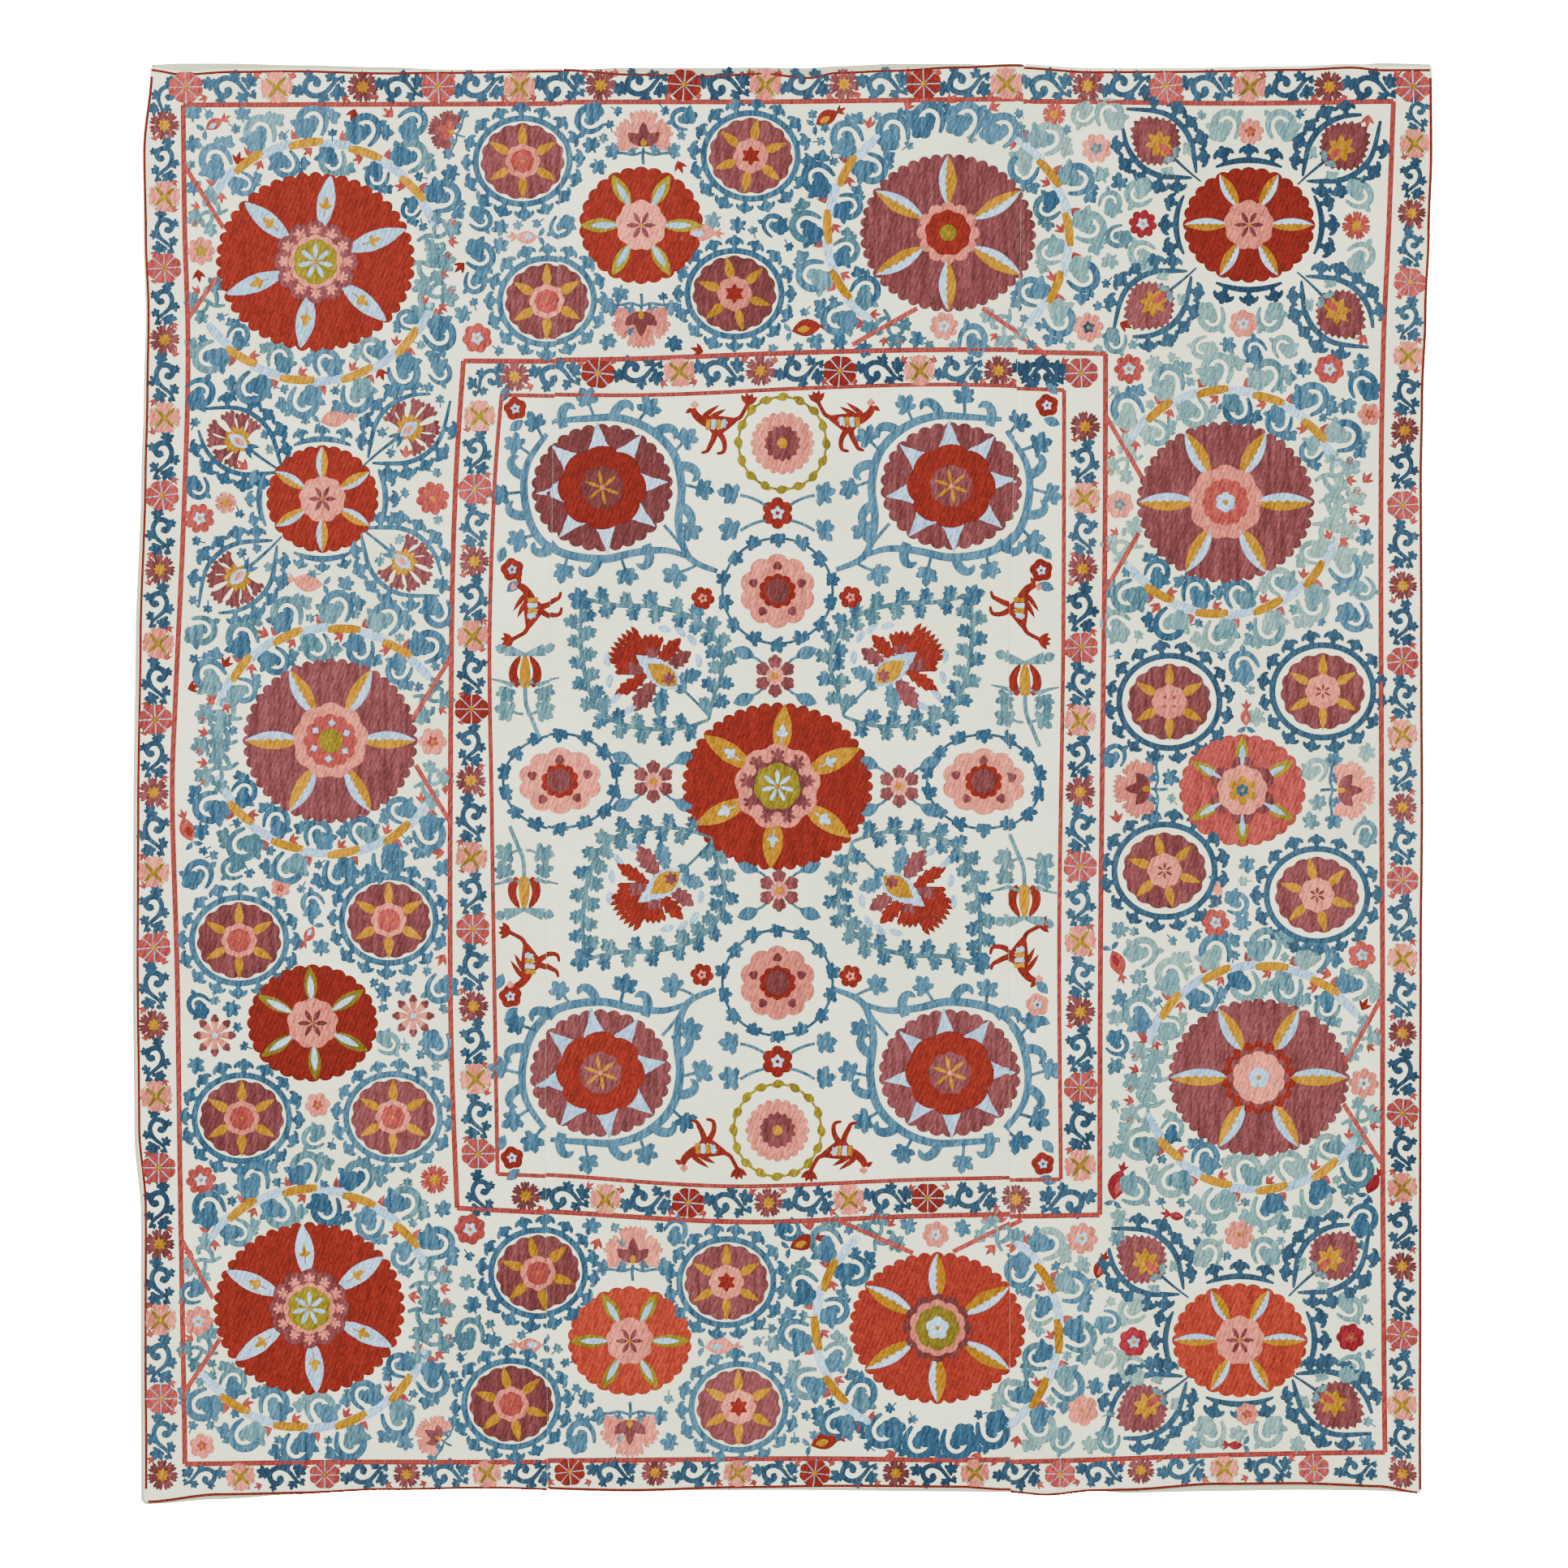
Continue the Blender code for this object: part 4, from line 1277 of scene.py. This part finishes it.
def leafy_blossom(pen):
    """A red blossom with a leaf on a stem towards each corner."""
    blossom(pen, "red", "pale", 19, 6, "red")
    for half in pen.halves():
        for up in (22, -22):
            half.ribbon("blue", bend((14, up * 0.4), (46, up), 0.12, 5), 2.0, tone=0.5)
            fan_leaf(half.at(50, up, -80), "blue", 1.05, 0.2)


def leafy_pinwheel(pen):
    """Six pink petals with plum tips, and a pointed leaf on a bent stem towards each corner."""
    for petal in pen.turns(6):
        petal.ribbon("pink", [(0, 3), (0, 11), (0, 18)], horn(2, 9))
        petal.at(0, 18).round("plum", 9, scallop(5, 0.25), sides=20, level=1)
    pen.round("gold", 4.5, sides=8, level=2)
    for half in pen.halves():
        for up, turn in ((-1, -110), (1, -70)):
            half.ribbon("blue", bend((14, 12 * up), (32, 24 * up), 0.3 * up, 5), 1.8, ridge=False, tone=0.4)
            half.at(36, 28 * up, turn).petal("blue", -12, 17, 17, level=0, count=7, tone=0.2)


def draw_field():
    for place in VINE_MEDALLIONS:
        vine_medallion(*place)
    beaded_rosette(Pen(964, 546))
    beaded_rosette(Pen(958, 1393))
    for x, y, *sizes in LEAFY_ROSETTES:
        leafy_rosette(Pen(x, y), *sizes)
    for place in ((958, 632), (958, 1308)):
        leafy_blossom(Pen(*place))
    for place in RED_BLOSSOMS:
        blossom(Pen(*place, 20), "red", "pink", 14, 6, "red")
    for place in LEAFY_PINWHEELS:
        leafy_pinwheel(Pen(*place))
    for place in LEAFY_PALMETTES:
        leafy_palmette(*place)
    for x, y, turn, flip in BEASTS:
        beast(Pen(x, y, turn, 1.0, flip))
    for place in FIELD_TULIPS:
        field_tulip(Pen(*place))
    for x, y, cloth in CORNER_BLOSSOMS:
        pen = Pen(x, y, 10)
        blossom(pen, cloth, "pale", 14, 5, "red")
        outwards = pen.at(0, 0, flip=-1 if x < MIDDLE else 1)
        outwards.at(12, 16, 30).petal("blue", -6, 16, 13, level=0, count=5, tone=0.4)
        outwards.at(-2, -18, -120).petal("blue", -6, 16, 13, level=0, count=5, tone=0.4)


def in_ground(x, y):
    """True between the outer border and the inner frame."""
    return 237 < x < 1693 and 138 < y < 1788 and not (545 < x < 1373 and 432 < y < 1510)


def bare_spots(reach):
    """Places in the ground that keep a reach away from all that is drawn there, and from each other."""
    tree = kdtree.KDTree(len(work.taken))
    for number, (x, y) in enumerate(work.taken):
        tree.insert((x, y, 0), number)
    tree.balance()
    step = reach * 0.55
    spots = [
        (237 + step * i + random.uniform(-2, 2), 138 + step * j + random.uniform(-2, 2))
        for i in range(int(1456 / step))
        for j in range(int(1650 / step))
    ]
    random.shuffle(spots)
    chosen = []
    for x, y in spots:
        if not in_ground(x, y) or tree.find((x, y, 0))[2] < reach + 1:
            continue
        near = any(math.hypot(x - a, y - b) < r + reach for a, b, r in work.keep_out)
        if not near and not any(math.hypot(x - a, y - b) < 2 * reach for a, b in chosen):
            chosen.append((x, y))
    return chosen


def fill_ground():
    """Curled leaves, then smaller leaves, wherever the ground between the borders is still bare."""
    for reach in (19.0, 15.0, 11.0, 8.0):
        for x, y in bare_spots(reach):
            pen = Pen(x, y, random.uniform(0, 360), 1.0, random.choice((1, -1)))
            thread = leaf_thread(x)
            if reach > 12:
                comma(pen.at(0, 0, 0, reach / 21), thread, tip=False)
            elif reach > 10:
                fan_leaf(pen.at(0, -6), thread, 0.8, stem=5)
            elif random.random() < 0.14:
                tulip(pen.at(0, -4), random.choice(("coral", "red", "coral")), 1.0)
            else:
                fan_leaf(pen.at(0, -3 - reach * 0.4), thread, reach * 0.8 / 14, stem=reach * 0.9)


def draw_all():
    draw_lines()
    draw_medallions()
    for x, y, kind in SMALL_MEDALLIONS:
        small_medallion(x, y, kind)
    draw_almonds()
    draw_single_flowers()
    draw_bands()
    draw_field()
    fill_ground()
    work.gather()


# How far the needlework of each panel has slipped against its neighbours, in metres across and down
SLIPS = {"left": (0.0, -0.0020), "centre": (0.0, 0.0), "right": (0.0, -0.0034)}


def cut_at_seam(shape, seam, keep_left):
    """Cuts flat needlework along a seam that leans, by straightening the seam for the cut."""
    for vertex in shape.verts:
        vertex.co.x -= seam_near(round(-vertex.co.z / MM), seam)
    whole = list(shape.verts) + list(shape.edges) + list(shape.faces)
    gap = SEAM_GAP if keep_left else -SEAM_GAP
    bmesh.ops.bisect_plane(
        shape, geom=whole, plane_co=(-gap, 0, 0), plane_no=(1, 0, 0),
        clear_outer=keep_left, clear_inner=not keep_left,
    )
    for vertex in shape.verts:
        vertex.co.x += seam_near(round(-vertex.co.z / MM), seam)


def face_viewer(shape):
    """Turns every face towards the viewer."""
    shape.normal_update()
    for face in shape.faces:
        if face.normal.y > 0:
            face.normal_flip()


def lay_needlework(materials):
    """One piece of needlework for each panel, cut at the seams and laid on the hang of the cloth."""
    pieces = {}
    for panel, (across, down) in SLIPS.items():
        shape = work.done.copy()
        bmesh.ops.translate(shape, verts=shape.verts, vec=(across, 0, down))
        if panel != "left":
            cut_at_seam(shape, "left_seam" if panel == "centre" else "right_seam", False)
        if panel != "right":
            cut_at_seam(shape, "left_seam" if panel == "left" else "right_seam", True)
        for vertex in shape.verts:
            vertex.co.y += cloth_depth(vertex.co.x, vertex.co.z)
        face_viewer(shape)
        pieces[panel] = new_piece("needlework_" + panel, shape, materials)
    work.done.free()
    return pieces


# The seam stitches: how far apart, how much that varies, half their length and width, and how far they slant
STITCH_STEP, STITCH_PLAY = 0.0052, 0.0006
STITCH_ACROSS, STITCH_DOWN, STITCH_SLANT = 0.0021, 0.00045, 0.0009


def seam_stitches(material):
    """Small slanted stitches of undyed thread that join the panels."""
    shape = bmesh.new()
    for seam in ("left_seam", "right_seam"):
        z = -0.006
        while z > -2.095:
            x = side(-z, seam)
            made = bmesh.ops.create_grid(shape, x_segments=2, y_segments=2, size=1.0)["verts"]
            for index, vertex in enumerate(made):
                row, column = divmod(index, 3)
                px = x + (column - 1) * STITCH_ACROSS
                pz = z + (row - 1) * STITCH_DOWN + (column - 1) * STITCH_SLANT
                height = 0.0007 if (row, column) == (1, 1) else -0.0001
                vertex.co = (px, cloth_depth(px, pz) - height, pz)
            z -= STITCH_STEP + random.uniform(-STITCH_PLAY, STITCH_PLAY)
    face_viewer(shape)
    return new_piece("seam_stitches", shape, [material])


def linear(colour):
    """A colour given as the eye sees it, 0 to 255, as the shader's own light values."""
    shares = [value / 255 for value in colour]
    return [s / 12.92 if s < 0.04045 else ((s + 0.055) / 1.055) ** 2.4 for s in shares] + [1.0]


def new_group(name, inputs, outputs):
    """A group of shader nodes, with its inputs as (name, kind, value) and its outputs as (name, kind)."""
    tree = bpy.data.node_groups.new(name, "ShaderNodeTree")
    for label, kind, value in inputs:
        socket = tree.interface.new_socket(label, in_out="INPUT", socket_type="NodeSocket" + kind)
        socket.default_value = value
    for label, kind in outputs:
        tree.interface.new_socket(label, in_out="OUTPUT", socket_type="NodeSocket" + kind)
    return tree, tree.nodes.new("NodeGroupInput").outputs, tree.nodes.new("NodeGroupOutput").inputs


def node(tree, kind, values=(), **settings):
    """A node with its settings and its inputs: a number, a colour, or another node's output."""
    made = tree.nodes.new("ShaderNode" + kind)
    for setting, value in settings.items():
        setattr(made, setting, value)
    for place, value in dict(values).items():
        if isinstance(value, bpy.types.NodeSocket):
            tree.links.new(value, made.inputs[place])
        else:
            made.inputs[place].default_value = value
    return made


def sums(tree, operation, *values):
    return node(tree, "Math", dict(enumerate(values)), operation=operation).outputs[0]


def weighed(tree, start, *parts):
    """A number with several values added to it, each times its own weight."""
    for value, weight in parts:
        start = sums(tree, "MULTIPLY_ADD", value, weight, start)
    return start


def on_object(tree):
    return node(tree, "SeparateXYZ", {0: node(tree, "TexCoord").outputs["Object"]}).outputs


def place_in(tree, across, down, turn=0.0):
    """Object coordinates on the face of the cloth, turned, and counted in lengths of across and down."""
    spot = on_object(tree)
    c, s = math.cos(math.radians(turn)), math.sin(math.radians(turn))
    u = weighed(tree, 0.0, (spot["X"], c / across), (spot["Z"], s / across))
    v = weighed(tree, 0.0, (spot["X"], -s / down), (spot["Z"], c / down))
    return node(tree, "CombineXYZ", {0: u, 1: v}).outputs[0]


def clouds(tree, across, down, detail, roughness=0.5):
    """Soft noise, stretched to lengths of across and down."""
    values = {"Vector": place_in(tree, across, down), "Scale": 1.0, "Detail": detail, "Roughness": roughness}
    return node(tree, "TexNoise", values).outputs[0]


def stitch_cells(tree, across, down, uneven):
    """Slanted cells like single stitches: each one's distance from its middle and its own colour."""
    values = {"Vector": place_in(tree, across, down, -24), "Scale": 1.0, "Randomness": uneven}
    return node(tree, "TexVoronoi", values, voronoi_dimensions="2D").outputs


def between(tree, value, low, high, first, last):
    """A value between low and high, read as one between first and last."""
    return node(tree, "MapRange", {0: value, 1: low, 2: high, 3: first, 4: last}).outputs[0]


def mixed(tree, share, first, second):
    return node(tree, "Mix", {0: share, 6: first, 7: second}, data_type="RGBA").outputs[2]


def shaded(tree, colour, light):
    """A colour made lighter or darker by a value."""
    even = node(tree, "CombineColor", {0: light, 1: light, 2: light}).outputs[0]
    return node(tree, "Mix", {0: 1.0, 6: colour, 7: even}, data_type="RGBA", blend_type="MULTIPLY").outputs[2]


def silk_group():
    """Couched silk: upright streaks of two tones, slanted stitches over them that are lighter in their
    middles and darker between them as painted light and shade, and a rim darkened with painted shade.
    """
    tree, given, put = new_group(
        "couched_silk",
        (("Main", "Color", (1, 1, 1, 1)), ("Other", "Color", (1, 1, 1, 1)), ("Streak", "Float", 0.5),
         ("Tone", "Float", 0.0), ("From Edge", "Float", 5.0)),
        (("Color", "Color"), ("Roughness", "Float"), ("Normal", "Vector")),
    )
    streaks = sums(tree, "SUBTRACT", clouds(tree, 0.0065, 0.085, 3.0, 0.6), 0.5)
    streaks = sums(tree, "MULTIPLY", streaks, given["Streak"])
    share = node(tree, "Clamp", {0: weighed(tree, 0.42, (streaks, 3.4), (given["Tone"], 0.55))}).outputs[0]
    colour = mixed(tree, share, given["Main"], given["Other"])
    stitches = stitch_cells(tree, 0.0036, 0.0074, 0.75)
    fine = stitch_cells(tree, 0.0019, 0.0040, 0.8)["Distance"]
    ribs = node(tree, "TexWave", {"Vector": place_in(tree, 0.0062, 0.06, -22), "Scale": math.tau / 20,
                                  "Distortion": 2.4, "Detail": 1.0, "Detail Scale": 3.0}, bands_direction="X")
    ply = sums(tree, "SUBTRACT", 1.0, stitches["Distance"])
    speck = node(tree, "SeparateColor", {0: stitches["Color"]}).outputs[0]
    # Painted light and shade: ply and fine, the relief of the bump, make each stitch lighter in its middle
    # and darker between stitches; speck and ribs are the threads' own tone
    light = weighed(tree, 0.53, (ply, 0.42), (speck, 0.42), (ribs.outputs["Fac"], 0.28), (fine, -0.42))
    colour = shaded(tree, colour, light)
    # Painted shade: the colour darkens to 70% at the rim of each patch, where its stitches slope down to the
    # cloth
    colour = shaded(tree, colour, between(tree, given["From Edge"], 0.0, 1.3, 0.70, 1.0))
    relief = sums(tree, "SUBTRACT", ply, fine)
    bumps = node(tree, "Bump", {"Strength": 0.7, "Distance": 0.0008, "Height": relief})
    tree.links.new(colour, put["Color"])
    tree.links.new(weighed(tree, 0.56, (speck, 0.12)), put["Roughness"])
    tree.links.new(bumps.outputs[0], put["Normal"])
    return tree


def weave_group():
    """Handwoven cotton: even ribs across, finer threads down, thick places in the yarn and a faint mottle,
    with the colour lighter on the raised threads and darker between them as painted light and shade.
    """
    tree, given, put = new_group(
        "plain_weave",
        (("Main", "Color", (1, 1, 1, 1)), ("Aged", "Color", (1, 1, 1, 1)), ("Rib", "Float", 1.0)),
        (("Color", "Color"), ("Normal", "Vector")),
    )
    wobble, spot = clouds(tree, 0.03, 0.012, 2.0), on_object(tree)
    rib = sums(tree, "SINE", weighed(tree, 0.0, (spot["Z"], math.tau / RIB_SPACING), (wobble, 9.0)))
    warp = sums(tree, "SINE", weighed(tree, 0.0, (spot["X"], math.tau / WARP_SPACING), (wobble, 5.0)))
    slub = clouds(tree, 0.030, 0.0021, 2.0)
    height = weighed(tree, 0.0, (rib, given["Rib"]), (warp, 0.45), (slub, 1.2))
    aged = between(tree, clouds(tree, 0.22, 0.30, 4.0), 0.42, 0.72, 0.0, 1.0)
    colour = mixed(tree, aged, given["Main"], given["Aged"])
    bumps = node(tree, "Bump", {"Strength": 0.5, "Distance": 0.0005, "Height": height})
    # Painted light and shade: the colour follows the weave's height, lighter on ribs, threads and thick
    # places and darker between them; the mottle is the cotton's own ageing
    tree.links.new(shaded(tree, colour, weighed(tree, 0.958, (height, 0.030))), put["Color"])
    tree.links.new(bumps.outputs[0], put["Normal"])
    return tree


def new_material(name, group, colours, roughness, sheen):
    """A material whose look comes from a group, with the group's own inputs given by name."""
    material = bpy.data.materials.new(name)
    material.use_nodes = True
    tree = material.node_tree
    shader = tree.nodes["Principled BSDF"].inputs
    look = tree.nodes.new("ShaderNodeGroup")
    look.node_tree = group
    for label, value in colours.items():
        look.inputs[label].default_value = value
    for label, attribute in (("Tone", "tone"), ("From Edge", "from_edge")):
        if label in look.inputs:
            read = node(tree, "Attribute", attribute_name=attribute, attribute_type="GEOMETRY")
            tree.links.new(read.outputs["Fac"], look.inputs[label])
    shader["Roughness"].default_value = roughness
    shader["Sheen Weight"].default_value = sheen
    shader["Specular IOR Level"].default_value = 0.08
    for output, socket in (("Color", "Base Color"), ("Normal", "Normal"), ("Roughness", "Roughness")):
        if output in look.outputs:
            tree.links.new(look.outputs[output], shader[socket])
    return material


GROUND = (249, 249, 215)
GROUND_AGED = (231, 232, 194)
# The lining cotton is greyer and darker than the ground: partly its own colour, partly painted shade for the
# strip of it that shows at the rim
LINING = (194, 197, 165)
LINING_AGED = (183, 184, 151)
RIB_SPACING, WARP_SPACING = 0.0023, 0.0017
# The panels: their rolled edges, and their flat sizes in metres
Panel = namedtuple("Panel", "rolled flat")
PANELS = {
    "left": Panel(("ends", "left"), (0.612, 2.112)),
    "centre": Panel(("ends",), (0.687, 2.104)),
    "right": Panel(("ends", "right"), (0.611, 2.104)),
}


def cotton_material(name, weave, main, aged, rib):
    return new_material(name, weave, {"Main": linear(main), "Aged": linear(aged), "Rib": rib}, 0.9, 0.03)


def thread_material(thread, silk):
    colours = {"Main": linear(thread.main), "Other": linear(thread.other), "Streak": thread.streak}
    return new_material("thread_" + thread.name, silk, colours, 0.6, 0.02)


def dress():
    """The three panels with their needlework, the stitches between them, and the lining."""
    silk, weave = silk_group(), weave_group()
    cotton = cotton_material("ground_cotton", weave, GROUND, GROUND_AGED, 1.0)
    backing = cotton_material("lining_cotton", weave, LINING, LINING_AGED, 0.5)
    threads = [thread_material(thread, silk) for thread in THREADS]
    draw_all()
    needlework = lay_needlework(threads)
    stitches = seam_stitches(cotton)
    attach(stitches, "root")
    behind = PANEL_THICKNESS + LAYER_GAP
    lining = cloth_sheet("lining_cloth", lining_columns, "lining", behind, LINING_THICKNESS, (), backing)
    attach(lining, "root")
    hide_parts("lining")
    for name, worked in needlework.items():
        columns = lambda drop, panel=name: panel_columns(drop, panel)
        panel = PANELS[name]
        cloth = cloth_sheet("cloth_" + name, columns, "front", 0.0, PANEL_THICKNESS, panel.rolled, cotton)
        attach(cloth, "root")
        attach(worked, "root")
        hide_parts("panel_" + name)


FLOOR_HEIGHT = -2.42
FRAME_UNITS = 1932
LENS, SENSOR = 120.0, 36.0


# The lamps: name, place, power and size
LAMPS = (
    ("key", (-2.6, -4.6, 1.2), 340.0, 2.4),
    ("fill", (3.4, -4.2, -0.6), 125.0, 3.0),
    ("back_fill", (1.5, 4.5, 0.5), 210.0, 3.0),
)
CLOTH_CENTRE = (0, 0, -1.06)


def in_scene(name, data, place):
    """Puts a lamp or a camera in the scene."""
    holder = bpy.data.objects.new(name, data)
    holder.location = place
    bpy.context.scene.collection.objects.link(holder)
    return holder


def lay_floor():
    """A pale floor under the cloth."""
    shape = bmesh.new()
    bmesh.ops.create_grid(shape, x_segments=1, y_segments=1, size=1.0)
    bmesh.ops.scale(shape, verts=shape.verts, vec=(3.4, 2.3, 1))
    bmesh.ops.translate(shape, verts=shape.verts, vec=(0, -1.6, FLOOR_HEIGHT))
    pale = bpy.data.materials.new("pale_floor")
    pale.use_nodes = True
    inputs = pale.node_tree.nodes["Principled BSDF"].inputs
    inputs["Base Color"].default_value = (0.86, 0.86, 0.86, 1)
    inputs["Roughness"].default_value = 0.9
    new_piece("floor", shape, [pale])


def hang_lamps():
    for name, place, power, size in LAMPS:
        lamp = bpy.data.lights.new(name, "AREA")
        lamp.energy, lamp.size = power, size
        holder = in_scene(name, lamp, place)
        holder.rotation_euler = (Vector(CLOTH_CENTRE) - holder.location).to_track_quat("-Z", "Y").to_euler()


def set_surroundings():
    """White to the eye, and a softer even light on the cloth."""
    world = bpy.data.worlds.new("studio")
    world.use_nodes = True
    tree = world.node_tree
    seen = node(tree, "Background", {"Color": (1, 1, 1, 1), "Strength": 60.0}).outputs[0]
    cast = node(tree, "Background", {"Color": (1, 1, 1, 1), "Strength": 1.3}).outputs[0]
    direct = node(tree, "LightPath").outputs["Is Camera Ray"]
    mix = node(tree, "MixShader", {0: direct, 1: cast, 2: seen})
    tree.links.new(mix.outputs[0], tree.nodes["World Output"].inputs[0])
    bpy.context.scene.world = world


def set_camera():
    """Square on to the cloth, at the distance where the frame spans its own count of units."""
    lens = bpy.data.cameras.new("camera")
    lens.lens, lens.sensor_width = LENS, SENSOR
    middle = FRAME_UNITS / 2
    place = ((middle - MIDDLE) * UNIT, -FRAME_UNITS * UNIT * LENS / SENSOR, (TOP - middle) * UNIT)
    camera = in_scene("camera", lens, place)
    camera.rotation_euler = (math.radians(90), 0, 0)
    bpy.context.scene.camera = camera


dress()
lay_floor()
hang_lamps()
set_surroundings()
set_camera()
